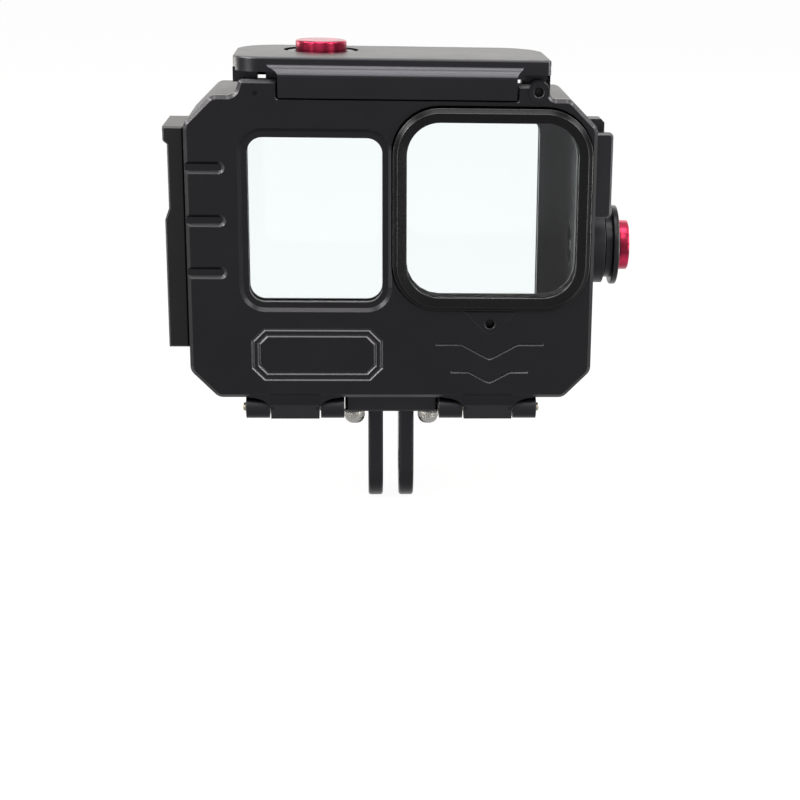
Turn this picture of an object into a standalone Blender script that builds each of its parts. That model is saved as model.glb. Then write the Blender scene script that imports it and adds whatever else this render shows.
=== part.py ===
# Action camera dive housing: a clear-windowed shell with a drop-down front cover,
# a top latch lid, two sprung buttons and a two-finger mount.
# Metres, +Z up, front towards -Y. The origin is the centre of the mount's pivot hole.

import math

import bmesh
import bpy
from mathutils import Matrix, Vector

MM = 0.001

# Clearances
FIT = 0.3 * MM
SEAT = 0.15 * MM
CUT_OVERRUN = 1.0 * MM
ROOT_OVERLAP = 0.6 * MM
WELD = 0.001 * MM

# Overall body
BODY_WIDTH = 79.3 * MM
BODY_HEIGHT = 58.9 * MM
CORNER_CUT = 5.4 * MM
CORNER_SOFTNESS = 0.9 * MM
COVER_THICKNESS = 3.2 * MM
SHELL_DEPTH = 31.7 * MM
WALL = 3.4 * MM
REAR_WALL = 3.4 * MM
CAVITY_RADIUS = 4.0 * MM
EDGE_ROUND = 0.7 * MM
SHELL_TAPER = 1.4 * MM
SHELL_TAPER_LENGTH = 7.0 * MM
FRONT_TO_PIVOT = 17.6 * MM
PIVOT_DROP = 17.8 * MM

# Ring seal between shell and cover
SEAL_INSET = 0.4 * MM
SEAL_WIDTH = 0.9 * MM
SEAL_DEPTH = 1.1 * MM

# Screen window in the cover
SCREEN_SIDE_MARGIN = 10.05 * MM
SCREEN_TOP_MARGIN = 5.95 * MM
SCREEN_LOWER_MARGIN = 17.35 * MM
SCREEN_RADIUS = 3.0 * MM
BEZEL_BORDER = 1.85 * MM
BEZEL_DEPTH = 0.7 * MM
SCREEN_LIP = 1.0 * MM
SCREEN_GLASS = 1.8 * MM
SCREEN_GASKET = 0.5 * MM
SCREEN_LEDGE = 1.4 * MM
RETAINER_LEDGE = 1.0 * MM
RETAINER_CORNER = 1.2 * MM
RETAINER_SCREW_INSET = 1.2 * MM
RETAINER_THICKNESS = 0.7 * MM

# Lens port in the cover
PORT_SIDE_MARGIN = 1.0 * MM
PORT_TOP_MARGIN = 1.3 * MM
PORT_LOWER_MARGIN = 18.3 * MM
PORT_TO_BEZEL = 0.05 * MM
PORT_WIDTH = 33.1 * MM
PORT_RADIUS = 6.4 * MM
PORT_RING_WIDTH = 2.75 * MM
PORT_RING_HEIGHT = 2.2 * MM
PORT_RING_SEAT = 0.7 * MM
PORT_BEVEL_WIDTH = 0.9 * MM
PORT_BEVEL_HEIGHT = 0.8 * MM
PORT_DISH = 0.5 * MM
PORT_LIP = 0.65 * MM
PORT_LEDGE = 1.2 * MM
PORT_GLASS = 1.8 * MM
PORT_GASKET = 0.4 * MM

# Rear window in the shell
REAR_SIDE_MARGIN = 8.45 * MM
REAR_END_MARGIN = 7.7 * MM
REAR_RADIUS = 2.5 * MM
REAR_LEDGE = 1.8 * MM
REAR_LIP = 1.0 * MM
REAR_GASKET = 0.4 * MM
REAR_GLASS = 1.6 * MM
REAR_FRAME_BORDER = 4.4 * MM
REAR_FRAME_THICKNESS = 0.9 * MM
REAR_FRAME_CORNER = 3.0 * MM

# Bottom hinges
HINGE_INSET = 20.4 * MM
LUG_WIDTH = 9.6 * MM
KNUCKLE_WIDTH = 4.65 * MM
LUG_RADIUS = 2.3 * MM
KNUCKLE_RADIUS = 2.3 * MM
KNUCKLE_REACH = 6.0 * MM
HINGE_DROP = 2.6 * MM
HINGE_PIN_RADIUS = 0.85 * MM
PIN_OVERHANG = 0.6 * MM
FLARE_WIDTH = 4.2 * MM
FLARE_DROP = 2.6 * MM
FLARE_SLANT = 0.6 * MM
FLARE_THICKNESS = 0.6 * MM
LUG_FACE_DROP = 1.5 * MM
LUG_CHAMFER = 1.2 * MM

# Outline details of the cover's top edge
NOTCH_DEPTH = 0.8 * MM
LUG_LEFT_INSET = 11.65 * MM
LUG_LEFT_RISE = 3.0 * MM
LUG_SLOPE_WIDTH = 3.8 * MM
CORNER_BOSS_INSET = 11.65 * MM
CORNER_BOSS_RISE = 1.4 * MM
CORNER_BOSS_RADIUS = 2.15 * MM
CORNER_BOSS_HEIGHT = 0.4 * MM
BOSS_FILLET = 1.3 * MM

# Filter inserts and the pad below the port
INSERT_RADIUS = 1.35 * MM
INSERT_BORE = 0.85 * MM
INSERT_DEPTH = 2.2 * MM
PAD_WIDTH = 11.8 * MM
PAD_DROP = 5.4 * MM
PAD_HEIGHT = 0.35 * MM
PAD_INSERT_DROP = 3.3 * MM

# Decorative relief of the cover
PLAQUE_RISE = 8.8 * MM
PLAQUE_WIDTH = 25.8 * MM
PLAQUE_HEIGHT = 10.6 * MM
PLAQUE_CUT = 2.5 * MM
PLAQUE_GROOVE = 0.55 * MM
RELIEF_DEPTH = 0.35 * MM
CHEVRON_LINE = 0.5 * MM
CHEVRON_RISE = 11.15 * MM
CHEVRON_PITCH = 5.6 * MM
CHEVRON_REACH = 10.7 * MM
CHEVRON_POINT = 5.6 * MM
CHEVRON_LOW_REACH = 7.7 * MM
CHEVRON_LOW_POINT = 4.1 * MM
CHEVRON_SLOPE = 0.52
GRIP_COUNT = 3
GRIP_PITCH = 10.15 * MM
GRIP_TOP_DROP = 13.6 * MM
GRIP_HEIGHT = 2.4 * MM
GRIP_LENGTH = 7.7 * MM
GRIP_DEPTH = 0.6 * MM

# Top latch lid
LID_RISE = 7.25 * MM
LID_THICKNESS = 2.8 * MM
LID_INSET = 9.45 * MM
LID_START = 0.3 * MM
LID_DEPTH = 28.0 * MM
LID_FRONT_RADIUS = 5.0 * MM
LID_BACK_RADIUS = 9.0 * MM
LID_EDGE_ROUND = 0.6 * MM
LID_BARREL_RADIUS = 1.9 * MM
LID_BARREL_INSET = 5.7 * MM
LID_AXIS_RISE = 2.3 * MM
LID_PIN_RADIUS = 0.9 * MM
EAR_GAP = 2.1 * MM
EAR_WIDTH = 2.8 * MM
BAR_LEFT_INSET = 17.65 * MM
BAR_RIGHT_INSET = 15.85 * MM
BAR_FRONT = 0.3 * MM
BAR_SWELL = 1.2 * MM
BAR_SWELL_HEIGHT = 2.7 * MM
BAR_CREST_DROP = 2.3 * MM
BAR_ROLL = 3.4 * MM
BAR_FLARE = 1.9 * MM
TAB_THICKNESS = 1.3 * MM
TAB_LENGTH = 13.7 * MM
SKIRT_DROP = 2.2 * MM
SKIRT_THICKNESS = 1.0 * MM
RETURN_GAP = 1.4 * MM
RETURN_THICKNESS = 1.4 * MM

# Buttons
BUTTON_TRAVEL = 1.5 * MM
SHUTTER_X = -13.65 * MM
SHUTTER_PROUD = 1.9 * MM
LID_HOLE_RADIUS = 7.35 * MM
CAP_RADIUS = 5.0 * MM
CAP_EDGE = 0.4 * MM
SHAFT_RADIUS = 1.5 * MM
STEM_RADIUS = 4.0 * MM
SPRING_RADIUS = 2.6 * MM
SPRING_WIRE = 0.5 * MM
SPRING_WELL = 1.1 * MM
CAP_WELL = 0.6 * MM
CAP_ROOF = 0.7 * MM
ORING_SECTION = 0.4 * MM
CLIP_RADIUS = 2.7 * MM
CLIP_THICKNESS = 0.5 * MM
CLIP_GROOVE = 0.35 * MM
CLIP_MOUTH = 0.8
CLIP_POCKET_DEPTH = 1.6 * MM
SHUTTER_FLANGE_RADIUS = 6.2 * MM
SHUTTER_FLANGE_HEIGHT = 2.0 * MM
BUTTON_BOSS_RADIUS = 7.7 * MM
BUTTON_BOSS_HEIGHT = 3.4 * MM
SIDE_NECK_RADIUS = 6.6 * MM
SIDE_NECK_HEIGHT = 0.9 * MM
SIDE_DISC_RADIUS = 8.0 * MM
SIDE_DISC_HEIGHT = 2.1 * MM
SIDE_FLOOR = 0.8 * MM
SIDE_BUTTON_Z = -1.55 * MM
SIDE_PROUD = 2.0 * MM

# Fin in front of the side button, and the block behind its top
GUARD_PROJECTION = 4.0 * MM
GUARD_TOP_MARGIN = 1.0 * MM
GUARD_BOTTOM_Z = 6.0 * MM
GUARD_DEPTH = 2.2 * MM
GUARD_ROUND = 0.8 * MM
BLOCK_PROJECTION = 2.7 * MM
BLOCK_TOP_DROP = 4.2 * MM
BLOCK_HEIGHT = 3.7 * MM
BLOCK_START = 9.0 * MM
BLOCK_DEPTH = 4.5 * MM

# Side rail on the left
RAIL_PROJECTION = 4.3 * MM
RAIL_TOP_MARGIN = 1.0 * MM
RAIL_HEAD_HEIGHT = 3.0 * MM
RAIL_WAIST_IN = 0.8 * MM
RAIL_PAD_TOP_Z = 5.1 * MM
RAIL_BOTTOM_MARGIN = 3.95 * MM
RAIL_SLOPE = 2.2 * MM
RAIL_START = 0.5 * MM
RAIL_LENGTH = 18.0 * MM

# Two-finger mount
FOOT_REAR_MARGIN = 3.8 * MM
FOOT_THICKNESS = 3.5 * MM
FOOT_CORNER = 1.0 * MM
FINGER_THICKNESS = 3.0 * MM
FINGER_GAP = 3.3 * MM
FINGER_RADIUS = 7.5 * MM
FINGER_EDGE = 0.5 * MM
FINGER_FILLET = 1.0 * MM
PIVOT_BORE_RADIUS = 2.6 * MM

# Fasteners
FOOT_SCREW_HEAD_RADIUS = 2.1 * MM
FOOT_SCREW_HEAD_HEIGHT = 3.0 * MM
FOOT_SCREW_RADIUS = 1.2 * MM
FOOT_SCREW_INSET_X = 1.9 * MM
FOOT_SCREW_INSET_Y = 4.4 * MM
THREAD_DEPTH = 2.3 * MM
SMALL_HEAD_RADIUS = 1.2 * MM
SMALL_HEAD_HEIGHT = 0.8 * MM
SMALL_SCREW_RADIUS = 0.6 * MM
SMALL_THREAD_DEPTH = 1.6 * MM
SLIM_HEAD_RADIUS = 0.85 * MM
SLIM_HEAD_HEIGHT = 0.4 * MM
SLIM_SCREW_RADIUS = 0.5 * MM

# Floor pad
PAD_MARGIN = 3.0 * MM
PAD_THICKNESS = 0.8 * MM

# Facets
ARC_STEPS = 5
ROUND_SEGMENTS = 24
SMALL_SEGMENTS = 12
SEAL_FACETS = 6
SHARP_ANGLE = 35

# Worked-out places of the body
FRONT_Y = -FRONT_TO_PIVOT
SPLIT_Y = FRONT_Y + COVER_THICKNESS
SHELL_FRONT_Y = SPLIT_Y + FIT
SHELL_REAR_Y = SHELL_FRONT_Y + SHELL_DEPTH
MID_Y = FRONT_Y + FRONT_TO_PIVOT
HALF_WIDTH = BODY_WIDTH / 2
BODY_BOTTOM_Z = PIVOT_DROP
BODY_TOP_Z = BODY_BOTTOM_Z + BODY_HEIGHT
CENTRE_Z = BODY_BOTTOM_Z + BODY_HEIGHT / 2
CORNER_LOW_Z = BODY_BOTTOM_Z + CORNER_CUT
CORNER_HIGH_Z = BODY_TOP_Z - CORNER_CUT
NOTCH_FLOOR_Z = BODY_TOP_Z - NOTCH_DEPTH
CAVITY_SIZE = (BODY_WIDTH - 2 * WALL, BODY_HEIGHT - 2 * WALL)

# Worked-out windows: the port keeps its width, and the screen window takes what is left
RING_SPAN = PORT_WIDTH + 2 * PORT_RING_WIDTH
PORT_HEIGHT = BODY_HEIGHT - PORT_TOP_MARGIN - PORT_LOWER_MARGIN - 2 * PORT_RING_WIDTH
PORT_CENTRE = (HALF_WIDTH - PORT_SIDE_MARGIN - RING_SPAN / 2,
               BODY_BOTTOM_Z + PORT_LOWER_MARGIN + PORT_RING_WIDTH + PORT_HEIGHT / 2)
BEZEL_WIDTH = BODY_WIDTH - SCREEN_SIDE_MARGIN - PORT_TO_BEZEL - RING_SPAN - PORT_SIDE_MARGIN
BEZEL_HEIGHT = BODY_HEIGHT - SCREEN_TOP_MARGIN - SCREEN_LOWER_MARGIN
SCREEN_WIDTH = BEZEL_WIDTH - 2 * BEZEL_BORDER
SCREEN_HEIGHT = BEZEL_HEIGHT - 2 * BEZEL_BORDER
SCREEN_CENTRE = (SCREEN_SIDE_MARGIN + BEZEL_WIDTH / 2 - HALF_WIDTH,
                 BODY_BOTTOM_Z + SCREEN_LOWER_MARGIN + BEZEL_HEIGHT / 2)
REAR_WIDTH = BODY_WIDTH - 2 * REAR_SIDE_MARGIN
REAR_HEIGHT = BODY_HEIGHT - 2 * REAR_END_MARGIN

# Worked-out places of the hinges, the lid and the mount
HINGE_X = HALF_WIDTH - HINGE_INSET
HINGE_AXIS = (SPLIT_Y, BODY_BOTTOM_Z - HINGE_DROP)
CORNER_BOSS_X = HALF_WIDTH - CORNER_BOSS_INSET
LUG_LEFT_X = LUG_LEFT_INSET - HALF_WIDTH
LID_WIDTH = BODY_WIDTH - 2 * LID_INSET
LID_BARREL_WIDTH = LID_WIDTH - 2 * LID_BARREL_INSET
LID_TOP_Z = BODY_TOP_Z + LID_RISE
LID_UNDER_Z = LID_TOP_Z - LID_THICKNESS
LID_FRONT_Y = FRONT_Y + LID_START
LID_REAR_Y = LID_FRONT_Y + LID_DEPTH
LID_AXIS = (LID_REAR_Y - LID_BARREL_RADIUS, BODY_TOP_Z + LID_AXIS_RISE)
BAR_LEFT_X = BAR_LEFT_INSET - HALF_WIDTH
BAR_RIGHT_X = HALF_WIDTH - BAR_RIGHT_INSET
FOOT_WIDTH = 2 * (HINGE_X - LUG_WIDTH / 2 - FIT - KNUCKLE_WIDTH - SEAT)
FOOT_LENGTH = SHELL_DEPTH - FOOT_REAR_MARGIN


def make_material(name, colour, roughness, metallic=0.0, transmission=0.0):
    material = bpy.data.materials.new(name)
    material.use_nodes = True
    shader = material.node_tree.nodes["Principled BSDF"]
    shader.inputs["Base Color"].default_value = (*colour, 1.0)
    shader.inputs["Roughness"].default_value = roughness
    shader.inputs["Metallic"].default_value = metallic
    shader.inputs["Transmission Weight"].default_value = transmission
    return material


def start_scene():
    for item in list(bpy.data.objects):
        bpy.data.objects.remove(item, do_unlink=True)


# Outlines

def circle(centre, radius, count=ROUND_SEGMENTS):
    turn = 2 * math.pi / count
    return [(centre[0] + radius * math.cos(i * turn), centre[1] + radius * math.sin(i * turn))
            for i in range(count)]


def arc(centre, radius, start, end, steps=ARC_STEPS):
    angles = [math.radians(start + (end - start) * i / steps) for i in range(steps + 1)]
    return [(centre[0] + radius * math.cos(a), centre[1] + radius * math.sin(a)) for a in angles]


def rectangle(x0, x1, y0, y1):
    return [(x0, y0), (x1, y0), (x1, y1), (x0, y1)]


def rounded(centre, width, height, radius):
    across = width / 2 - radius
    up = height / 2 - radius
    points = []
    for sign_x, sign_y, start in ((1, 1, 0), (-1, 1, 90), (-1, -1, 180), (1, -1, 270)):
        corner = (centre[0] + sign_x * across, centre[1] + sign_y * up)
        points += arc(corner, radius, start, start + 90)
    return points


def grown(centre, width, height, radius, amount):
    return rounded(centre, width + 2 * amount, height + 2 * amount, radius + amount)


def octagon(centre, width, height, cut):
    w = width / 2
    h = height / 2
    corners = [(w, h - cut), (w - cut, h), (cut - w, h), (-w, h - cut),
               (-w, cut - h), (cut - w, -h), (w - cut, -h), (w, cut - h)]
    return [(centre[0] + x, centre[1] + z) for x, z in corners]


def softened(outline, reach, steps=3):
    # A short curve takes the place of each corner, and starts and ends this far from it.
    count = len(outline)
    points = []
    for i in range(count):
        corner = Vector(outline[i])
        start = corner + (Vector(outline[i - 1]) - corner).normalized() * reach
        end = corner + (Vector(outline[(i + 1) % count]) - corner).normalized() * reach
        for step in range(steps + 1):
            t = step / steps
            points.append(tuple(start * (1 - t) ** 2 + corner * 2 * t * (1 - t) + end * t * t))
    return points


def inset(outline, amount):
    # Each corner moves inwards along the mean of its two edge normals.
    count = len(outline)
    moved = []
    for i in range(count):
        before = Vector(outline[i]) - Vector(outline[i - 1])
        after = Vector(outline[(i + 1) % count]) - Vector(outline[i])
        first = Vector((-before.y, before.x)).normalized()
        second = Vector((-after.y, after.x)).normalized()
        mean = (first + second) / (1 + first.dot(second))
        moved.append(tuple(Vector(outline[i]) + mean * amount))
    return moved


# Solids

def along_y(point, position):
    return (point[0], position, point[1])


def along_x(point, position):
    return (position, point[0], point[1])


def along_z(point, position):
    return (point[0], point[1], position)


def new_object(name, builder, material=None):
    bmesh.ops.recalc_face_normals(builder, faces=builder.faces)
    mesh = bpy.data.meshes.new(name)
    builder.to_mesh(mesh)
    builder.free()
    if material:
        mesh.materials.append(material)
    return place_mesh(name, mesh)


def place_mesh(name, mesh, frame=None):
    item = bpy.data.objects.new(name, mesh)
    bpy.context.scene.collection.objects.link(item)
    if frame:
        item.matrix_world = frame
    return item


def loft(name, layers, place=along_y, material=None, closed=False):
    # Layers are (outline, position) pairs with the same number of points each.
    # A flat face is extruded from one outline to the next, and a closed loft returns to its start.
    builder = bmesh.new()
    outline, position = layers[0]
    ring = [builder.verts.new(place(point, position)) for point in outline]
    cap = builder.faces.new(ring)
    for outline, position in layers[1:] + layers[:1] * closed:
        cap = bmesh.ops.extrude_discrete_faces(builder, faces=[cap])["faces"][0]
        for vert, point in zip(cap.verts, outline):
            vert.co = place(point, position)
    if closed:
        bmesh.ops.delete(builder, geom=[cap], context="FACES_ONLY")
        bmesh.ops.remove_doubles(builder, verts=builder.verts, dist=WELD)
    else:
        builder.faces.new(ring)
    return new_object(name, builder, material)


def prism(name, outline, start, end, place=along_y, material=None):
    return loft(name, [(outline, start), (outline, end)], place, material)


def frame_ring(name, outer, inner, start, end, material=None):
    layers = [(outer, start), (outer, end), (inner, end), (inner, start)]
    return loft(name, layers, along_y, material, closed=True)


def turned(name, profile, frame, material=None, closed=False, segments=ROUND_SEGMENTS):
    # The profile is (radius, height) points about the frame's own Z axis.
    # It starts a quarter of a facet round, so that no corner lies on an axis or a diagonal.
    builder = bmesh.new()
    lean = math.pi / segments / 2
    points = [builder.verts.new((radius * math.cos(lean), radius * math.sin(lean), height))
              for radius, height in profile]
    edges = [builder.edges.new(pair) for pair in zip(points, points[1:])]
    if closed:
        edges.append(builder.edges.new((points[-1], points[0])))
    bmesh.ops.spin(builder, geom=points + edges, cent=(0, 0, 0), axis=(0, 0, 1),
                   angle=2 * math.pi, steps=segments, use_merge=True)
    if not closed:
        rims = [edge for edge in builder.edges if edge.is_boundary]
        bmesh.ops.holes_fill(builder, edges=rims, sides=0)
    item = new_object(name, builder, material)
    item.matrix_world = frame
    smooth_round(item.data)
    return item


def smooth_round(mesh):
    mesh.shade_smooth()
    mesh.set_sharp_from_angle(angle=math.radians(SHARP_ANGLE))


def apply_booleans(target, tools, operation):
    for tool in tools:
        step = target.modifiers.new(operation.title(), "BOOLEAN")
        step.operation = operation
        step.solver = "EXACT"
        step.object = tool
        tool.hide_render = True
        tool.display_type = "WIRE"
        bpy.context.view_layer.update()
        graph = bpy.context.evaluated_depsgraph_get()
        result = bpy.data.meshes.new_from_object(target.evaluated_get(graph))
        target.modifiers.remove(step)
        result.name = target.name
        target.data = result
        bpy.data.objects.remove(tool, do_unlink=True)
    return target


def cut(target, *tools):
    return apply_booleans(target, tools, "DIFFERENCE")


def join(target, *tools):
    return apply_booleans(target, tools, "UNION")


def repeat(name, item, frames):
    # Copies share one mesh; the first is the modelled piece itself.
    copies = [item]
    item.name = name + "_1"
    item.matrix_world = frames[0]
    for number, frame in enumerate(frames[1:], start=2):
        copies.append(place_mesh(f"{name}_{number}", item.data, frame))
    return copies


def set_origin(item, point):
    # The joint axis becomes the object's own origin, and the shape stays where it is.
    bpy.context.view_layer.update()
    if item.data.users > 1:
        item.data = item.data.copy()
    item.data.transform(Matrix.Translation(-Vector(point)) @ item.matrix_world)
    item.matrix_world = Matrix.Translation(Vector(point))


def upright(point):
    return Matrix.Translation(Vector(point))


def sideways(point, towards=1):
    return Matrix.Translation(Vector(point)) @ Matrix.Rotation(towards * math.pi / 2, 4, "Y")


def downwards(point):
    return Matrix.Translation(Vector(point)) @ Matrix.Rotation(math.pi, 4, "X")


def backwards(point):
    return Matrix.Translation(Vector(point)) @ Matrix.Rotation(math.pi / 2, 4, "X")


def forwards(point):
    return Matrix.Translation(Vector(point)) @ Matrix.Rotation(-math.pi / 2, 4, "X")


def rod(name, radius, start, end, frame, material=None, segments=ROUND_SEGMENTS):
    return turned(name, [(radius, start), (radius, end)], frame, material, segments=segments)


def screws(name, head, shank, frames, material):
    # The head's seat is at height 0, and the shank runs down from it.
    head_radius, head_height = head
    shank_radius, shank_length = shank
    edge = head_height / 6
    profile = [(shank_radius, -shank_length), (shank_radius, 0), (head_radius, 0),
               (head_radius, head_height - edge), (head_radius - edge, head_height)]
    first = turned(name, profile, frames[0], material, segments=SMALL_SEGMENTS)
    return repeat(name, first, frames)


# Buttons

def build_bushing(name, outside, floor, stem_depth, frame, material):
    # Outer steps and any counterbore, then the spring well, the bore and the seal groove.
    bore = SHAFT_RADIUS + FIT
    groove = bore + 2 * ORING_SECTION + FIT
    groove_middle = -stem_depth / 2
    groove_half = ORING_SECTION + SEAT
    well = SPRING_RADIUS + FIT
    well_floor = floor - SPRING_WELL
    profile = [(STEM_RADIUS, -stem_depth), (STEM_RADIUS, FIT)] + outside
    profile += [(well, floor), (well, well_floor), (bore, well_floor),
                (bore, groove_middle + groove_half), (groove, groove_middle + groove_half),
                (groove, groove_middle - groove_half), (bore, groove_middle - groove_half),
                (bore, -stem_depth)]
    turned(name, profile, frame, material, closed=True)


def build_seal(name, stem_depth, frame, material):
    middle = SHAFT_RADIUS + FIT + ORING_SECTION
    section = [(middle + x, z) for x, z in circle((0, -stem_depth / 2), ORING_SECTION, SEAL_FACETS)]
    turned(name, section, frame, material, closed=True)


def build_spring(name, start, end, frame, material):
    inner = SPRING_RADIUS - SPRING_WIRE
    tube = [(SPRING_RADIUS, start), (SPRING_RADIUS, end), (inner, end), (inner, start)]
    turned(name, tube, frame, material, closed=True)


def build_cap(name, base, top, frame, material):
    # A disc with a well for the spring and a socket for the shaft in its underside.
    cap = turned(name,
                 [(CAP_RADIUS - CAP_EDGE, base), (CAP_RADIUS, base + CAP_EDGE),
                  (CAP_RADIUS, top - CAP_EDGE), (CAP_RADIUS - CAP_EDGE, top)],
                 frame, material)
    cut(cap,
        rod("well", SPRING_RADIUS + FIT, base - CUT_OVERRUN, base + CAP_WELL, frame),
        rod("socket", SHAFT_RADIUS + SEAT, base - CUT_OVERRUN, top - CAP_ROOF, frame))


def build_shaft_and_clip(prefix, stem_depth, shaft_end, frame, material):
    clip_top = -stem_depth - SEAT
    clip_bottom = clip_top - CLIP_THICKNESS
    neck = SHAFT_RADIUS - CLIP_GROOVE
    tip = clip_bottom - CLIP_THICKNESS
    gap = SEAT / 2
    turned(prefix + "_shaft",
           [(neck, tip), (SHAFT_RADIUS, tip + CLIP_GROOVE), (SHAFT_RADIUS, clip_bottom - gap),
            (neck, clip_bottom - gap), (neck, clip_top + gap), (SHAFT_RADIUS, clip_top + gap),
            (SHAFT_RADIUS, shaft_end)],
           frame, material)
    hole = neck + gap
    clip = turned(prefix + "_clip",
                  [(CLIP_RADIUS, clip_bottom), (CLIP_RADIUS, clip_top), (hole, clip_top),
                   (hole, clip_bottom)],
                  frame, material, closed=True)
    half = neck * CLIP_MOUTH
    slot = prism("slot", rectangle(0, CLIP_RADIUS + CUT_OVERRUN, -half, half),
                 clip_bottom - CLIP_THICKNESS, clip_top + CLIP_THICKNESS, along_z)
    slot.matrix_world = frame
    cut(clip, slot)


def build_button(prefix, outside, floor, stem_depth, cap_top, frame, materials):
    # Heights are from the seat: the cap's base stays clear of the floor at full travel.
    cap_base = floor + BUTTON_TRAVEL + FIT
    build_bushing(prefix + "_bushing", outside, floor, stem_depth, frame, materials["bushing"])
    build_seal(prefix + "_seal", stem_depth, frame, materials["rubber"])
    build_spring(prefix + "_spring", floor - SPRING_WELL + SEAT, cap_base + CAP_WELL - SEAT, frame,
                 materials["steel"])
    build_cap(prefix + "_cap", cap_base, cap_top, frame, materials["red"])
    build_shaft_and_clip(prefix, stem_depth, cap_top - CAP_ROOF - SEAT, frame, materials["steel"])


def shutter_frame():
    return upright((SHUTTER_X, MID_Y, BODY_TOP_Z))


def side_frame():
    seat_x = HALF_WIDTH + BUTTON_BOSS_HEIGHT
    return sideways((seat_x, MID_Y, CENTRE_Z + SIDE_BUTTON_Z))


def shutter_stem():
    return WALL - CLIP_POCKET_DEPTH


def side_stem():
    return WALL + BUTTON_BOSS_HEIGHT - CLIP_POCKET_DEPTH


def build_shutter(materials):
    flange_top = FIT + SHUTTER_FLANGE_HEIGHT
    outside = [(SHUTTER_FLANGE_RADIUS, FIT), (SHUTTER_FLANGE_RADIUS, flange_top)]
    build_button("shutter", outside, flange_top, shutter_stem(), LID_RISE + SHUTTER_PROUD,
                 shutter_frame(), materials)


def build_side_button(materials):
    # The cap sits in a counterbore of the disc.
    neck_top = FIT + SIDE_NECK_HEIGHT
    disc_top = neck_top + SIDE_DISC_HEIGHT
    floor = FIT + SIDE_FLOOR
    counterbore = CAP_RADIUS + FIT
    outside = [(SIDE_NECK_RADIUS, FIT), (SIDE_NECK_RADIUS, neck_top), (SIDE_DISC_RADIUS, neck_top),
               (SIDE_DISC_RADIUS, disc_top - CAP_EDGE), (SIDE_DISC_RADIUS - CAP_EDGE, disc_top),
               (counterbore, disc_top), (counterbore, floor)]
    build_button("side", outside, floor, side_stem(), disc_top + SIDE_PROUD, side_frame(), materials)


# Shell

def body_outline():
    return softened(octagon((0, CENTRE_Z), BODY_WIDTH, BODY_HEIGHT, CORNER_CUT), CORNER_SOFTNESS)


def cavity_outline(amount=0.0):
    return grown((0, CENTRE_Z), *CAVITY_SIZE, CAVITY_RADIUS, amount)


def rear_outline(amount=0.0):
    return grown((0, CENTRE_Z), REAR_WIDTH, REAR_HEIGHT, REAR_RADIUS, amount)


def knuckle_outline():
    axis_y, axis_z = HINGE_AXIS
    back = SHELL_FRONT_Y + KNUCKLE_REACH
    inner = SHELL_FRONT_Y + SEAT
    roof = BODY_BOTTOM_Z + ROOT_OVERLAP
    points = arc(HINGE_AXIS, KNUCKLE_RADIUS, 90, 270, 2 * ARC_STEPS)
    points += [(back - KNUCKLE_RADIUS, axis_z - KNUCKLE_RADIUS), (back, axis_z),
               (back, roof), (inner, roof), (inner, axis_z + KNUCKLE_RADIUS)]
    return points


def hinge_sides():
    # Start and end of the two body knuckles of one hinge, measured from the hinge's middle.
    first = LUG_WIDTH / 2 + FIT
    return ((-first - KNUCKLE_WIDTH, -first), (first, first + KNUCKLE_WIDTH))


def ear_outline():
    axis_y, axis_z = LID_AXIS
    radius = LID_BARREL_RADIUS
    foot = BODY_TOP_Z - ROOT_OVERLAP
    return arc(LID_AXIS, radius, 0, 180, 2 * ARC_STEPS) + [(axis_y - radius, foot), (axis_y + radius, foot)]


def ear_places():
    start = LID_BARREL_WIDTH / 2 + EAR_GAP
    return ((start, start + EAR_WIDTH), (-start - EAR_WIDTH, -start))


def rear_screw_places():
    # Four corners and two on each long side a third of the window's width apart,
    # all midway between the pocket and the frame's edge.
    out = (REAR_LEDGE + REAR_FRAME_BORDER) / 2
    across = REAR_WIDTH / 2 + out
    up = REAR_HEIGHT / 2 + out
    places = [(x, z) for x in (-across, across) for z in (-up, up)]
    places += [(x, z) for x in (-REAR_WIDTH / 6, REAR_WIDTH / 6) for z in (-up, up)]
    return [(x, CENTRE_Z + z) for x, z in places]


def foot_centre_y():
    # The foot starts just behind the cover, which swings down past it.
    return SHELL_FRONT_Y + SEAT + FOOT_LENGTH / 2


def foot_screw_places():
    x = FOOT_WIDTH / 2 - FOOT_SCREW_INSET_X
    y = FOOT_LENGTH / 2 - FOOT_SCREW_INSET_Y
    return [(sx * x, foot_centre_y() + sy * y) for sx in (-1, 1) for sy in (-1, 1)]


def rail_screw_places():
    middle_y = SHELL_FRONT_Y + RAIL_START + RAIL_LENGTH / 2
    head = CORNER_HIGH_Z - RAIL_TOP_MARGIN - RAIL_HEAD_HEIGHT
    pad_top = CENTRE_Z + RAIL_PAD_TOP_Z
    pad_bottom = CORNER_LOW_Z + RAIL_BOTTOM_MARGIN
    return [(middle_y, (head + pad_top) / 2), (middle_y, (pad_top + pad_bottom) / 2)]


def shell_blank(material):
    outline = body_outline()
    shell = loft("main_shell",
                 [(outline, SHELL_FRONT_Y), (outline, SHELL_REAR_Y - SHELL_TAPER_LENGTH),
                  (inset(outline, SHELL_TAPER), SHELL_REAR_Y)], along_y, material)
    for middle in (-HINGE_X, HINGE_X):
        for start, end in hinge_sides():
            join(shell, prism("knuckle", knuckle_outline(), middle + start, middle + end, along_x))
    for start, end in ear_places():
        join(shell, prism("ear", ear_outline(), start, end, along_x))
    return shell


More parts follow.
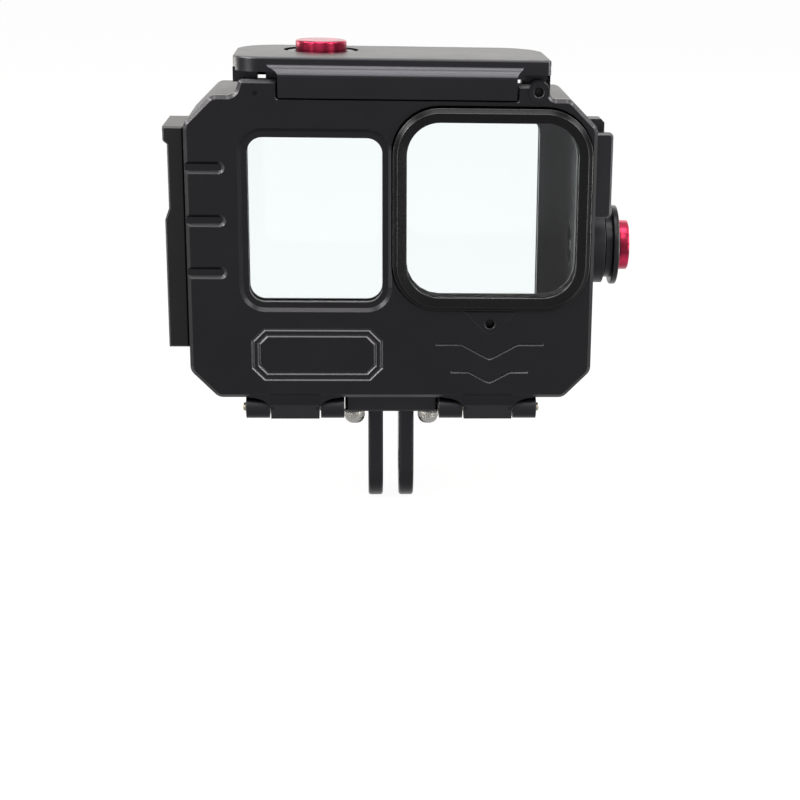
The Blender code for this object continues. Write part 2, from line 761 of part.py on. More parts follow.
def guard_fin():
    # A vertical fin in front of the side button.
    inner = HALF_WIDTH - ROOT_OVERLAP
    outer = HALF_WIDTH + GUARD_PROJECTION
    bottom = CENTRE_Z + GUARD_BOTTOM_Z
    top = CORNER_HIGH_Z - GUARD_TOP_MARGIN
    start = SHELL_FRONT_Y + SEAT
    edge = EDGE_ROUND / 2
    outline = [(inner, bottom), (outer - EDGE_ROUND, bottom), (outer, bottom + EDGE_ROUND)]
    outline += arc((outer - GUARD_ROUND, top - GUARD_ROUND), GUARD_ROUND, 0, 90) + [(inner, top)]
    return loft("guard", [(inset(outline, edge), start), (outline, start + edge),
                          (outline, start + GUARD_DEPTH)])


def guard_block():
    # A small block on the side wall, which runs up over the corner cut.
    inner = HALF_WIDTH - CORNER_CUT / 2
    outer = HALF_WIDTH + BLOCK_PROJECTION
    top = BODY_TOP_Z - BLOCK_TOP_DROP
    bottom = top - BLOCK_HEIGHT
    outline = [(inner, bottom), (outer, bottom), (outer, top - EDGE_ROUND),
               (outer - EDGE_ROUND, top), (inner, top)]
    start = FRONT_Y + BLOCK_START
    return prism("block", outline, start, start + BLOCK_DEPTH)


def build_shell(materials):
    shell = shell_blank(materials["shell"])
    boss = rod("boss", BUTTON_BOSS_RADIUS, -BUTTON_BOSS_HEIGHT - ROOT_OVERLAP, 0, side_frame())
    join(shell, guard_fin(), guard_block(), boss)

    cavity_rear = SHELL_REAR_Y - REAR_WALL
    groove_end = SHELL_FRONT_Y + SEAL_DEPTH + SEAT
    seal_groove = frame_ring("groove", cavity_outline(SEAL_INSET + SEAL_WIDTH + 2 * SEAT),
                             cavity_outline(SEAL_INSET), SHELL_FRONT_Y - CUT_OVERRUN, groove_end)
    cut(shell,
        prism("cavity", cavity_outline(), SHELL_FRONT_Y - CUT_OVERRUN, cavity_rear),
        seal_groove,
        prism("rear_opening", rear_outline(), cavity_rear - CUT_OVERRUN, SHELL_REAR_Y + CUT_OVERRUN),
        prism("rear_pocket", rear_outline(REAR_LEDGE), cavity_rear + REAR_LIP, SHELL_REAR_Y + CUT_OVERRUN))

    for frame, stem in ((shutter_frame(), shutter_stem()), (side_frame(), side_stem())):
        depth = stem + CLIP_POCKET_DEPTH + CUT_OVERRUN
        cut(shell, rod("stem_hole", STEM_RADIUS + FIT, -depth, CUT_OVERRUN, frame))

    pin_hole = HINGE_PIN_RADIUS + FIT
    reach = LUG_WIDTH + 2 * KNUCKLE_WIDTH
    for middle in (-HINGE_X, HINGE_X):
        frame = sideways((middle, *HINGE_AXIS))
        cut(shell, rod("pin_hole", pin_hole, -reach, reach, frame, segments=SMALL_SEGMENTS))
    lid_reach = ear_places()[0][1] + CUT_OVERRUN
    cut(shell, rod("lid_pin_hole", LID_PIN_RADIUS + FIT, -lid_reach, lid_reach,
                   sideways((0, *LID_AXIS)), segments=SMALL_SEGMENTS))

    for x, z in rear_screw_places():
        cut(shell, rod("thread", SMALL_SCREW_RADIUS + SEAT, -SMALL_THREAD_DEPTH - FIT, CUT_OVERRUN,
                       forwards((x, SHELL_REAR_Y, z)), segments=SMALL_SEGMENTS))
    for x, y in foot_screw_places():
        cut(shell, rod("thread", FOOT_SCREW_RADIUS + FIT, -THREAD_DEPTH - FIT, CUT_OVERRUN,
                       downwards((x, y, BODY_BOTTOM_Z)), segments=SMALL_SEGMENTS))
    for y, z in rail_screw_places():
        cut(shell, rod("thread", SMALL_SCREW_RADIUS + SEAT, -THREAD_DEPTH - FIT, CUT_OVERRUN,
                       sideways((-HALF_WIDTH, y, z), -1), segments=SMALL_SEGMENTS))
    return shell


def build_main_seal(materials):
    inner = cavity_outline(SEAL_INSET + SEAT)
    outer = cavity_outline(SEAL_INSET + SEAT + SEAL_WIDTH)
    frame_ring("main_seal", outer, inner, SHELL_FRONT_Y, SHELL_FRONT_Y + SEAL_DEPTH,
               materials["rubber"])


def build_rear_window(materials):
    floor = SHELL_REAR_Y - REAR_WALL + REAR_LIP
    gasket_end = floor + SEAT + REAR_GASKET
    glass_start = gasket_end + SEAT
    pane = rear_outline(REAR_LEDGE - FIT)
    frame_ring("rear_window_gasket", pane, rear_outline(), floor + SEAT, gasket_end,
               materials["rubber"])
    prism("rear_window", pane, glass_start, glass_start + REAR_GLASS, material=materials["glass"])

    start = SHELL_REAR_Y + SEAT
    end = start + REAR_FRAME_THICKNESS
    outer = rounded((0, CENTRE_Z), REAR_WIDTH + 2 * REAR_FRAME_BORDER,
                    REAR_HEIGHT + 2 * REAR_FRAME_BORDER, REAR_FRAME_CORNER)
    edge = REAR_FRAME_THICKNESS / 3
    frame = loft("rear_window_frame",
                 [(outer, start), (outer, end - edge), (inset(outer, edge), end)],
                 along_y, materials["frame"])
    cut(frame, prism("opening", rear_outline(), start - CUT_OVERRUN, end + CUT_OVERRUN))
    seat = end + SEAT
    for x, z in rear_screw_places():
        cut(frame, rod("hole", SMALL_SCREW_RADIUS + SEAT, -REAR_FRAME_THICKNESS - CUT_OVERRUN,
                       CUT_OVERRUN, forwards((x, end, z)), segments=SMALL_SEGMENTS))
    length = seat - SHELL_REAR_Y + SMALL_THREAD_DEPTH
    screws("rear_frame_screw", (SMALL_HEAD_RADIUS, SMALL_HEAD_HEIGHT), (SMALL_SCREW_RADIUS, length),
           [forwards((x, seat, z)) for x, z in rear_screw_places()], materials["screw"])


def build_floor_pad(materials):
    width = CAVITY_SIZE[0] - 2 * CAVITY_RADIUS - 2 * PAD_MARGIN
    floor_z = BODY_BOTTOM_Z + WALL + SEAT
    start = SHELL_FRONT_Y + PAD_MARGIN
    end = SHELL_REAR_Y - REAR_WALL - FIT
    outline = rounded((0, (start + end) / 2), width, end - start, PAD_MARGIN)
    prism("floor_pad", outline, floor_z, floor_z + PAD_THICKNESS, along_z, materials["rubber"])


# Cover

def top_edge_points():
    # From the right-hand corner cut to the left-hand one, along the cover's top.
    boss = (CORNER_BOSS_X, BODY_TOP_Z + CORNER_BOSS_RISE)
    radius = CORNER_BOSS_RADIUS
    # The fillet touches the plate's top line and the boss from outside.
    fillet_z = BODY_TOP_Z + BOSS_FILLET
    span = math.sqrt((radius + BOSS_FILLET) ** 2 - (fillet_z - boss[1]) ** 2)
    fillet = (boss[0] + span, fillet_z)
    lean = math.degrees(math.atan2(fillet[1] - boss[1], fillet[0] - boss[0]))
    points = arc(fillet, BOSS_FILLET, -90, lean - 180)
    points += arc(boss, radius, lean, 180, 2 * ARC_STEPS)[1:]
    points.append((boss[0] - radius, NOTCH_FLOOR_Z))

    lug_top = BODY_TOP_Z + LUG_LEFT_RISE
    lug_right = BAR_LEFT_X - 2 * FIT
    points += [(lug_right, NOTCH_FLOOR_Z), (lug_right, lug_top - EDGE_ROUND),
               (lug_right - EDGE_ROUND, lug_top)]
    steps = 2 * ARC_STEPS
    for i in range(steps + 1):
        t = i / steps
        fall = LUG_LEFT_RISE * (3 * t * t - 2 * t ** 3)
        points.append((LUG_LEFT_X - LUG_SLOPE_WIDTH * t, lug_top - fall))
    return points


def cover_outline():
    # The worked top edge comes after the first two of the eight corners.
    corners = body_outline()
    upper = len(corners) // 4
    return corners[:upper] + top_edge_points() + corners[upper:]


def hinge_lug(middle):
    # The cover's middle knuckle: a block down to the axis and a barrel round it.
    axis_y, axis_z = HINGE_AXIS
    half = LUG_WIDTH / 2
    root = BODY_BOTTOM_Z + ROOT_OVERLAP
    points = [(FRONT_Y, root), (FRONT_Y, BODY_BOTTOM_Z - LUG_FACE_DROP),
              (FRONT_Y + LUG_CHAMFER, axis_z - LUG_RADIUS + LUG_CHAMFER / 4)]
    points += arc(HINGE_AXIS, LUG_RADIUS, 270, 360)
    points += arc(HINGE_AXIS, LUG_RADIUS, 10, 90)
    points.append((axis_y, root))
    return prism("lug", points, middle - half, middle + half, along_x)


def lug_flare(middle, side):
    # Beside the lug its front spreads into the plate's bottom edge with a hollow curve.
    half = LUG_WIDTH / 2
    far = half + FLARE_WIDTH
    root = BODY_BOTTOM_Z + ROOT_OVERLAP
    layers = []
    for drop, y in ((FLARE_DROP - FLARE_SLANT, FRONT_Y + SEAT), (FLARE_DROP, FRONT_Y + FLARE_THICKNESS)):
        hollow = [(half + FLARE_WIDTH * (1 - x), BODY_BOTTOM_Z - drop * (1 - z))
                  for x, z in arc((0, 0), 1, 0, 90)]
        outline = [(half - ROOT_OVERLAP, root), (half - ROOT_OVERLAP, BODY_BOTTOM_Z - drop)]
        outline += hollow + [(far, root)]
        layers.append(([(middle + side * x, z) for x, z in outline], y))
    return loft("flare", layers)


def pad_below_port():
    # A triangular pad whose rounded tip points down.
    top = PORT_CENTRE[1] - PORT_HEIGHT / 2 - PORT_RING_WIDTH + FIT
    middle = PORT_CENTRE[0]
    tip = arc((middle, top - PAD_DROP + INSERT_RADIUS), INSERT_RADIUS, 220, 320)
    outline = [(middle + PAD_WIDTH / 2, top), (middle - PAD_WIDTH / 2, top)] + tip
    raised = inset(outline, PAD_HEIGHT / 2)
    return loft("pad", [(raised, FRONT_Y - PAD_HEIGHT), (outline, FRONT_Y + ROOT_OVERLAP)])


def insert_places():
    pad_z = PORT_CENTRE[1] - PORT_HEIGHT / 2 - PORT_RING_WIDTH - PAD_INSERT_DROP
    return [(CORNER_BOSS_X, BODY_TOP_Z + CORNER_BOSS_RISE - SEAT, FRONT_Y - CORNER_BOSS_HEIGHT),
            (PORT_CENTRE[0], pad_z, FRONT_Y - PAD_HEIGHT)]


def plaque_grooves():
    centre = (SCREEN_CENTRE[0], BODY_BOTTOM_Z + PLAQUE_RISE)
    grooves = []
    for step in (0, 2):
        outer = inset(octagon(centre, PLAQUE_WIDTH, PLAQUE_HEIGHT, PLAQUE_CUT), step * PLAQUE_GROOVE)
        inner = inset(outer, PLAQUE_GROOVE)
        grooves.append(frame_ring("plaque", outer, inner, FRONT_Y - CUT_OVERRUN, FRONT_Y + RELIEF_DEPTH))
    return grooves


def chevron(rise, reach, half):
    # A stroke of constant width: level, down to the point, up and level again.
    top = BODY_BOTTOM_Z + rise
    line = [(-reach, top), (-half, top), (0, top - half * CHEVRON_SLOPE), (half, top), (reach, top)]
    upper = [(PORT_CENTRE[0] + x, z) for x, z in line]
    lower = [(x, z - CHEVRON_LINE) for x, z in reversed(upper)]
    return prism("chevron", upper + lower, FRONT_Y - CUT_OVERRUN, FRONT_Y + RELIEF_DEPTH)


def grip_grooves():
    grooves = []
    radius = GRIP_HEIGHT / 2
    for i in range(GRIP_COUNT):
        z = BODY_TOP_Z - GRIP_TOP_DROP - i * GRIP_PITCH
        end_x = -HALF_WIDTH + GRIP_LENGTH - radius
        start_x = -HALF_WIDTH - CUT_OVERRUN
        outline = [(start_x, z - radius)] + arc((end_x, z), radius, -90, 90, 2 * ARC_STEPS)
        outline += [(start_x, z + radius)]
        deep = inset(outline, GRIP_DEPTH)
        grooves.append(loft("grip", [(deep, FRONT_Y + GRIP_DEPTH), (outline, FRONT_Y),
                                     (outline, FRONT_Y - CUT_OVERRUN)]))
    return grooves


def screen_outline(amount=0.0):
    return grown(SCREEN_CENTRE, SCREEN_WIDTH, SCREEN_HEIGHT, SCREEN_RADIUS, amount)


def port_outline(amount=0.0):
    return grown(PORT_CENTRE, PORT_WIDTH, PORT_HEIGHT, PORT_RADIUS, amount)


def screen_depths():
    # Depths behind the front face of the pocket floor, the glass and the retainer.
    pocket = BEZEL_DEPTH + SCREEN_LIP
    glass = pocket + SEAT + SCREEN_GASKET + SEAT
    retainer = glass + SCREEN_GLASS + SEAT
    rear = retainer + RETAINER_THICKNESS
    return pocket, glass, retainer, rear


def cover_blank(material):
    outline = cover_outline()
    cover = loft("front_cover",
                 [(inset(outline, EDGE_ROUND), FRONT_Y), (outline, FRONT_Y + EDGE_ROUND),
                  (outline, SPLIT_Y)], along_y, material)
    for middle in (-HINGE_X, HINGE_X):
        join(cover, hinge_lug(middle), lug_flare(middle, -1), lug_flare(middle, 1))
    rear = screen_depths()[3]
    join(cover, prism("screen_pad", retainer_outline(EDGE_ROUND), FRONT_Y + COVER_THICKNESS / 2,
                      FRONT_Y + rear))
    boss = circle((CORNER_BOSS_X, BODY_TOP_Z + CORNER_BOSS_RISE), CORNER_BOSS_RADIUS - SEAT)
    join(cover, loft("boss", [(inset(boss, CORNER_BOSS_HEIGHT / 2), FRONT_Y - CORNER_BOSS_HEIGHT),
                              (boss, FRONT_Y - CORNER_BOSS_HEIGHT / 2),
                              (boss, FRONT_Y + COVER_THICKNESS / 2)]))
    join(cover, pad_below_port())
    return cover


def build_cover(materials):
    cover = cover_blank(materials["cover"])
    pocket, _, retainer, _ = screen_depths()
    front = FRONT_Y - CUT_OVERRUN
    back = FRONT_Y + screen_depths()[3] + CUT_OVERRUN
    bezel = screen_outline(BEZEL_BORDER)
    cut(cover,
        loft("bezel", [(inset(bezel, EDGE_ROUND / 2), FRONT_Y + BEZEL_DEPTH), (bezel, FRONT_Y),
                       (bezel, front)]),
        prism("screen_opening", screen_outline(), front, back),
        prism("screen_pocket", screen_outline(SCREEN_LEDGE), FRONT_Y + pocket, back),
        prism("retainer_pocket", retainer_outline(), FRONT_Y + retainer - SEAT, back))

    ring_floor = FRONT_Y + PORT_RING_SEAT + FIT
    gasket_floor = ring_floor + SEAT + PORT_GASKET
    cut(cover,
        prism("ring_seat", port_outline(PORT_RING_WIDTH + SEAT), front - PAD_HEIGHT, ring_floor),
        prism("gasket_seat", port_outline(PORT_LEDGE), front, gasket_floor),
        prism("port_opening", port_outline(), front, SPLIT_Y + CUT_OVERRUN))

    for x, z, y in insert_places():
        cut(cover, rod("insert_hole", INSERT_RADIUS + SEAT, -INSERT_DEPTH - FIT, CUT_OVERRUN,
                       backwards((x, y, z)), segments=SMALL_SEGMENTS))
    cut(cover, *plaque_grooves(), *grip_grooves(),
        chevron(CHEVRON_RISE, CHEVRON_REACH, CHEVRON_POINT),
        chevron(CHEVRON_RISE - CHEVRON_PITCH, CHEVRON_LOW_REACH, CHEVRON_LOW_POINT))
    pin_hole = HINGE_PIN_RADIUS + FIT
    for middle in (-HINGE_X, HINGE_X):
        cut(cover, rod("pin_hole", pin_hole, -LUG_WIDTH, LUG_WIDTH, sideways((middle, *HINGE_AXIS)),
                       segments=SMALL_SEGMENTS))
    for x, z in retainer_screw_places():
        cut(cover, rod("thread", SLIM_SCREW_RADIUS + SEAT, -SMALL_THREAD_DEPTH - FIT, CUT_OVERRUN,
                       forwards((x, FRONT_Y + retainer - SEAT, z)), segments=SMALL_SEGMENTS))
    set_origin(cover, (0, *HINGE_AXIS))
    return cover


def retainer_outline(amount=0.0):
    border = SCREEN_LEDGE + RETAINER_LEDGE
    return grown(SCREEN_CENTRE, SCREEN_WIDTH + 2 * border, SCREEN_HEIGHT + 2 * border,
                 RETAINER_CORNER, amount)


def retainer_screw_places():
    # One in each corner, outside the pane's rounded corner.
    inwards = SCREEN_LEDGE + RETAINER_LEDGE - FIT - RETAINER_SCREW_INSET
    x, z = SCREEN_CENTRE
    across = SCREEN_WIDTH / 2 + inwards
    up = SCREEN_HEIGHT / 2 + inwards
    return [(x + sx * across, z + sz * up) for sx in (-1, 1) for sz in (-1, 1)]


def build_screen_window(materials):
    pocket, glass, retainer, rear = screen_depths()
    pane = screen_outline(SCREEN_LEDGE - FIT)
    gasket_start = FRONT_Y + pocket + SEAT
    pieces = [frame_ring("screen_gasket", pane, screen_outline(), gasket_start,
                         gasket_start + SCREEN_GASKET, materials["rubber"]),
              prism("screen_window", pane, FRONT_Y + glass, FRONT_Y + glass + SCREEN_GLASS,
                    material=materials["glass"])]
    plate = frame_ring("screen_retainer", retainer_outline(-FIT), screen_outline(),
                       FRONT_Y + retainer, FRONT_Y + rear, materials["frame"])
    for x, z in retainer_screw_places():
        cut(plate, rod("hole", SLIM_SCREW_RADIUS + SEAT, -RETAINER_THICKNESS - CUT_OVERRUN,
                       CUT_OVERRUN, forwards((x, FRONT_Y + rear, z)), segments=SMALL_SEGMENTS))
    seat = FRONT_Y + rear + SEAT
    length = RETAINER_THICKNESS + SMALL_THREAD_DEPTH
    pieces += [plate] + screws("screen_retainer_screw", (SLIM_HEAD_RADIUS, SLIM_HEAD_HEIGHT),
                               (SLIM_SCREW_RADIUS, length),
                               [forwards((x, seat, z)) for x, z in retainer_screw_places()],
                               materials["screw"])
    for piece in pieces:
        set_origin(piece, (0, *HINGE_AXIS))


def build_port(materials):
    # The ring clamps the pane from outside, and its front face dishes in to the opening.
    front = FRONT_Y - PORT_RING_HEIGHT
    back = FRONT_Y + PORT_RING_SEAT
    bevel = front + PORT_BEVEL_HEIGHT
    inner_front = front + PORT_DISH
    lip_back = inner_front + PORT_LIP
    ring = loft("port_ring",
                [(port_outline(PORT_RING_WIDTH), back), (port_outline(PORT_RING_WIDTH), bevel),
                 (port_outline(PORT_RING_WIDTH - PORT_BEVEL_WIDTH), front),
                 (port_outline(), inner_front), (port_outline(), lip_back),
                 (port_outline(PORT_LEDGE), lip_back), (port_outline(PORT_LEDGE), back)],
                along_y, materials["cover"], closed=True)
    pane = port_outline(PORT_LEDGE - FIT)
    glass_start = lip_back + SEAT
    glass = prism("port_window", pane, glass_start, glass_start + PORT_GLASS,
                  material=materials["glass"])
    gasket_end = FRONT_Y + PORT_RING_SEAT + FIT + PORT_GASKET
    gasket = frame_ring("port_gasket", pane, port_outline(), glass_start + PORT_GLASS + SEAT,
                        gasket_end, materials["rubber"])
    for piece in (ring, glass, gasket):
        set_origin(piece, (0, *HINGE_AXIS))


def build_inserts(materials):
    tube = [(INSERT_RADIUS, -INSERT_DEPTH), (INSERT_RADIUS, -SEAT),
            (INSERT_BORE, -SEAT), (INSERT_BORE, -INSERT_DEPTH)]
    frames = [backwards((x, y, z)) for x, z, y in insert_places()]
    first = turned("insert", tube, frames[0], materials["steel"], closed=True,
                   segments=SMALL_SEGMENTS)
    for piece in repeat("filter_insert", first, frames):
        set_origin(piece, (0, *HINGE_AXIS))


def build_pins(materials):
    # Each bottom pin stands out of its outer knuckle and ends inside the inner one.
    half = LUG_WIDTH / 2 + FIT + KNUCKLE_WIDTH
    edge = HINGE_PIN_RADIUS / 4
    for name, side in (("hinge_pin_left", -1), ("hinge_pin_right", 1)):
        turned(name, [(HINGE_PIN_RADIUS - edge, -half + FIT), (HINGE_PIN_RADIUS, -half + FIT + edge),
                      (HINGE_PIN_RADIUS, half + PIN_OVERHANG - edge),
                      (HINGE_PIN_RADIUS - edge, half + PIN_OVERHANG)],
               sideways((side * HINGE_X, *HINGE_AXIS), side), materials["steel"],
               segments=SMALL_SEGMENTS)
    reach = ear_places()[0][1] + PIN_OVERHANG
    rod("lid_pin", LID_PIN_RADIUS, -reach, reach, sideways((0, *LID_AXIS)), materials["frame"],
        segments=SMALL_SEGMENTS)


# Latch lid

def lid_outline():
    half = LID_WIDTH / 2
    front = LID_FRONT_Y
    back = LID_REAR_Y
    fr = LID_FRONT_RADIUS
    br = LID_BACK_RADIUS
    points = arc((half - fr, front + fr), fr, -90, 0)
    points += arc((half - br, back - br), br, 0, 90, 2 * ARC_STEPS)
    points += arc((br - half, back - br), br, 90, 180, 2 * ARC_STEPS)
    points += arc((fr - half, front + fr), fr, 180, 270)
    return points


def latch_bar():
    # Stacked rectangles: the front swells out to a crest and rolls back over it,
    # and above the crest the ends spread towards the lid's corners.
    front = FRONT_Y - BAR_FRONT
    bottom = NOTCH_FLOOR_Z + FIT
    crest = LID_TOP_Z - BAR_CREST_DROP
    places = [(0.0, front, bottom)]
    for i in range(ARC_STEPS + 1):
        t = i / ARC_STEPS
        swell = BAR_SWELL * (3 * t * t - 2 * t ** 3)
        places.append((0.0, front - swell, crest - BAR_SWELL_HEIGHT * (1 - t)))
    for i in range(1, ARC_STEPS):
        turn = math.pi / 2 * i / ARC_STEPS
        back = BAR_ROLL * (1 - math.cos(turn))
        places.append((BAR_FLARE * math.sin(turn), front - BAR_SWELL + back,
                       crest + BAR_CREST_DROP * math.sin(turn)))
    layers = [(rectangle(BAR_LEFT_X - spread, BAR_RIGHT_X + spread, y, SPLIT_Y), z)
              for spread, y, z in places]
    return loft("bar", layers, along_z)


def lid_rear():
    # Barrel round the pin and the web that ties it to the plate.
    axis_y, axis_z = LID_AXIS
    radius = LID_BARREL_RADIUS
    half = LID_BARREL_WIDTH / 2
    roof = LID_UNDER_Z + ROOT_OVERLAP
    points = arc(LID_AXIS, radius, 180, 360, 2 * ARC_STEPS)
    points += [(axis_y + radius, roof), (axis_y - radius, roof)]
    return prism("rear", points, -half, half, along_x)


def lid_sides():
    half = LID_WIDTH / 2
    start = SHELL_FRONT_Y
    end = start + TAB_LENGTH
    roof = LID_UNDER_Z + ROOT_OVERLAP
    right_foot = BODY_TOP_Z + FIT + SEAT
    left_foot = LID_UNDER_Z - SKIRT_DROP
    tab = prism("tab", rectangle(half - FIT, half + TAB_THICKNESS, start, end),
                right_foot, LID_TOP_Z - LID_EDGE_ROUND, along_z)
    wall_start = BAR_RIGHT_X + RETURN_GAP
    wall = prism("wall", rectangle(wall_start, half + SEAT, start, start + RETURN_THICKNESS),
                 right_foot, roof, along_z)
    skirt = prism("skirt", rectangle(-half, -half + SKIRT_THICKNESS, start, end), left_foot, roof,
                  along_z)
    corner = prism("corner", rectangle(-half + SKIRT_THICKNESS / 2, -ear_places()[0][0], start,
                                       start + RETURN_THICKNESS), left_foot, roof, along_z)
    return tab, wall, skirt, corner


def build_lid(materials):
    outline = lid_outline()
    lid = loft("latch_lid",
               [(outline, LID_UNDER_Z), (outline, LID_TOP_Z - LID_EDGE_ROUND),
                (inset(outline, LID_EDGE_ROUND), LID_TOP_Z)], along_z, materials["lid"])
    join(lid, latch_bar(), lid_rear(), *lid_sides())
    reach = LID_BARREL_WIDTH
    cut(lid,
        rod("button_hole", LID_HOLE_RADIUS, -LID_RISE, CUT_OVERRUN,
            upright((SHUTTER_X, MID_Y, LID_TOP_Z))),
        rod("pin_hole", LID_PIN_RADIUS + FIT, -reach, reach, sideways((0, *LID_AXIS)),
            segments=SMALL_SEGMENTS))
    set_origin(lid, (0, *LID_AXIS))
    return lid


# Side rail and mount

def build_side_rail(materials):
    inner = -HALF_WIDTH - FIT
    outer = -HALF_WIDTH - RAIL_PROJECTION
    waist = outer + RAIL_WAIST_IN
    top = CORNER_HIGH_Z - RAIL_TOP_MARGIN
    head = top - RAIL_HEAD_HEIGHT
    pad_top = CENTRE_Z + RAIL_PAD_TOP_Z
    pad_slope = pad_top + RAIL_SLOPE
    bottom = CORNER_LOW_Z + RAIL_BOTTOM_MARGIN
    edge = EDGE_ROUND / 2
    outline = [(inner, bottom), (inner, top), (outer + edge, top), (outer, top - edge),
               (outer, head + edge), (outer + edge, head), (waist, head - edge), (waist, pad_slope),
               (outer, pad_top), (outer, bottom + edge), (outer + edge, bottom)]
    start = SHELL_FRONT_Y + RAIL_START
    end = start + RAIL_LENGTH
    rail = loft("side_rail", [(inset(outline, edge), start), (outline, start + edge),
                              (outline, end - edge), (inset(outline, edge), end)],
                along_y, materials["frame"])
    seat_x = -HALF_WIDTH - FIT - RAIL_PROJECTION / 2
    for y, z in rail_screw_places():
        frame = sideways((seat_x, y, z), -1)
        cut(rail,
            rod("hole", SMALL_SCREW_RADIUS + SEAT, -RAIL_PROJECTION, CUT_OVERRUN, frame,
                segments=SMALL_SEGMENTS),
            rod("head_well", SMALL_HEAD_RADIUS + FIT, 0, RAIL_PROJECTION, frame,
                segments=SMALL_SEGMENTS))
    length = -HALF_WIDTH - seat_x + THREAD_DEPTH
    screws("side_rail_screw", (SMALL_HEAD_RADIUS, SMALL_HEAD_HEIGHT), (SMALL_SCREW_RADIUS, length),
           [sideways((seat_x - SEAT, y, z), -1) for y, z in rail_screw_places()],
           materials["screw"])


def finger_outline(root_z):
    points = arc((MID_Y, 0), FINGER_RADIUS, 180, 360, 4 * ARC_STEPS)
    return points + [(MID_Y + FINGER_RADIUS, root_z), (MID_Y - FINGER_RADIUS, root_z)]


def build_foot(materials):
    top = BODY_BOTTOM_Z - FIT
    under = top - FOOT_THICKNESS
    centre_y = foot_centre_y()
    plate = rounded((0, centre_y), FOOT_WIDTH, FOOT_LENGTH, FOOT_CORNER)
    edge = FINGER_EDGE
    foot = loft("mount_foot", [(inset(plate, edge), under), (plate, under + edge), (plate, top)],
                along_z, materials["mount"])
    root = under + FOOT_THICKNESS / 2
    outline = finger_outline(root)
    small = inset(outline, edge)
    small = [(y, max(z, root) if z > under else z) for y, z in small]
    for side in (-1, 1):
        inner = side * FINGER_GAP / 2
        outer = side * (FINGER_GAP / 2 + FINGER_THICKNESS)
        join(foot, loft("finger", [(small, inner), (outline, inner + side * edge),
                                   (outline, outer - side * edge), (small, outer)], along_x))
        # A sloped fillet outside each finger's root.
        reach = outer + side * FINGER_FILLET
        inside = outer - side * FINGER_THICKNESS / 2
        above = under + FOOT_THICKNESS / 3
        fillet = [(inside, under - FINGER_FILLET), (outer, under - FINGER_FILLET),
                  (reach, under + edge), (reach, above), (inside, above)]
        join(foot, prism("fillet", fillet, MID_Y - FINGER_RADIUS + 2 * edge,
                         MID_Y + FINGER_RADIUS - 2 * edge))
    cut(foot, rod("pivot_bore", PIVOT_BORE_RADIUS, -FOOT_WIDTH, FOOT_WIDTH, sideways((0, MID_Y, 0))))

    for x, y in foot_screw_places():
        cut(foot, rod("hole", FOOT_SCREW_RADIUS + FIT, -FOOT_THICKNESS - CUT_OVERRUN, CUT_OVERRUN,
                      downwards((x, y, under)), segments=SMALL_SEGMENTS))
    length = FOOT_THICKNESS + 2 * FIT + THREAD_DEPTH
    screws("mount_screw", (FOOT_SCREW_HEAD_RADIUS, FOOT_SCREW_HEAD_HEIGHT),
           (FOOT_SCREW_RADIUS, length),
           [downwards((x, y, under - FIT)) for x, y in foot_screw_places()], materials["knurled"])


def build_materials():
    black = (0.021, 0.021, 0.023)
    return {
        "shell": make_material("black_anodised_shell", black, 0.42, 0.6),
        "cover": make_material("black_anodised_cover", black, 0.36, 0.6),
        "lid": make_material("black_anodised_lid", black, 0.36, 0.6),
        "mount": make_material("black_mount", black, 0.4, 0.6),
        "frame": make_material("black_frame", (0.018, 0.018, 0.019), 0.5, 0.4),
        "bushing": make_material("black_bushing", (0.02, 0.02, 0.022), 0.35, 0.6),
        "red": make_material("red_anodised", (0.42, 0.02, 0.07), 0.3, 0.9),
        "glass": make_material("clear_glass", (0.93, 0.99, 0.98), 0.05, 0.0, 1.0),
        "rubber": make_material("black_rubber", (0.012, 0.012, 0.012), 0.7),
        "steel": make_material("bare_steel", (0.55, 0.54, 0.52), 0.25, 1.0),
        "screw": make_material("blackened_screw", (0.05, 0.05, 0.052), 0.35, 0.9),
        "knurled": make_material("knurled_steel", (0.4, 0.39, 0.37), 0.3, 1.0),
    }


def main():
    start_scene()
    materials = build_materials()
    build_shell(materials)
    build_main_seal(materials)
    build_rear_window(materials)
    build_floor_pad(materials)
    build_cover(materials)
    build_screen_window(materials)
    build_port(materials)
    build_inserts(materials)
    build_pins(materials)
    build_lid(materials)
    build_shutter(materials)
    build_side_button(materials)
    build_side_rail(materials)
    build_foot(materials)


main()
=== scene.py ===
import math
import bmesh
import bpy
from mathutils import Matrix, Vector


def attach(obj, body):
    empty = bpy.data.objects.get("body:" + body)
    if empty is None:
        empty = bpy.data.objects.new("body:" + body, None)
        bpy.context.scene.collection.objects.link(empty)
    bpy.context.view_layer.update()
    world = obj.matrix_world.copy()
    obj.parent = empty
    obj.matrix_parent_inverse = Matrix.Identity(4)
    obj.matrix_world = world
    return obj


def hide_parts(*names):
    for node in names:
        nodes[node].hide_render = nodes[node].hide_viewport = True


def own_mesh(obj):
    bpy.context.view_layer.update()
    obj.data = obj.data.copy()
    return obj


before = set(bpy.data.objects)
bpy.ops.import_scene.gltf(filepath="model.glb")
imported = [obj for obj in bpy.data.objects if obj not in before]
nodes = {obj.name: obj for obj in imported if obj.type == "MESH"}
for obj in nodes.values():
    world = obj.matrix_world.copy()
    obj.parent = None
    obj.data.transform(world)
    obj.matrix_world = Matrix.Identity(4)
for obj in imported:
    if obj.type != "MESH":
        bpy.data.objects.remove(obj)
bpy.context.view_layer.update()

mm = 0.001
print("frame loaded:", len(nodes), "nodes")

# how an upright piece is laid along an axis, and which way each side of a piece faces
turns = {'z': (0, 0, 0), 'x': (0, math.pi / 2, 0), 'y': (-math.pi / 2, 0, 0),
         'left': (0, -math.pi / 2, 0), 'down': (math.pi, 0, 0)}
facings = {'front': (0, -1, 0), 'rear': (0, 1, 0), 'left': (-1, 0, 0), 'right': (1, 0, 0),
           'top': (0, 0, 1), 'under': (0, 0, -1)}


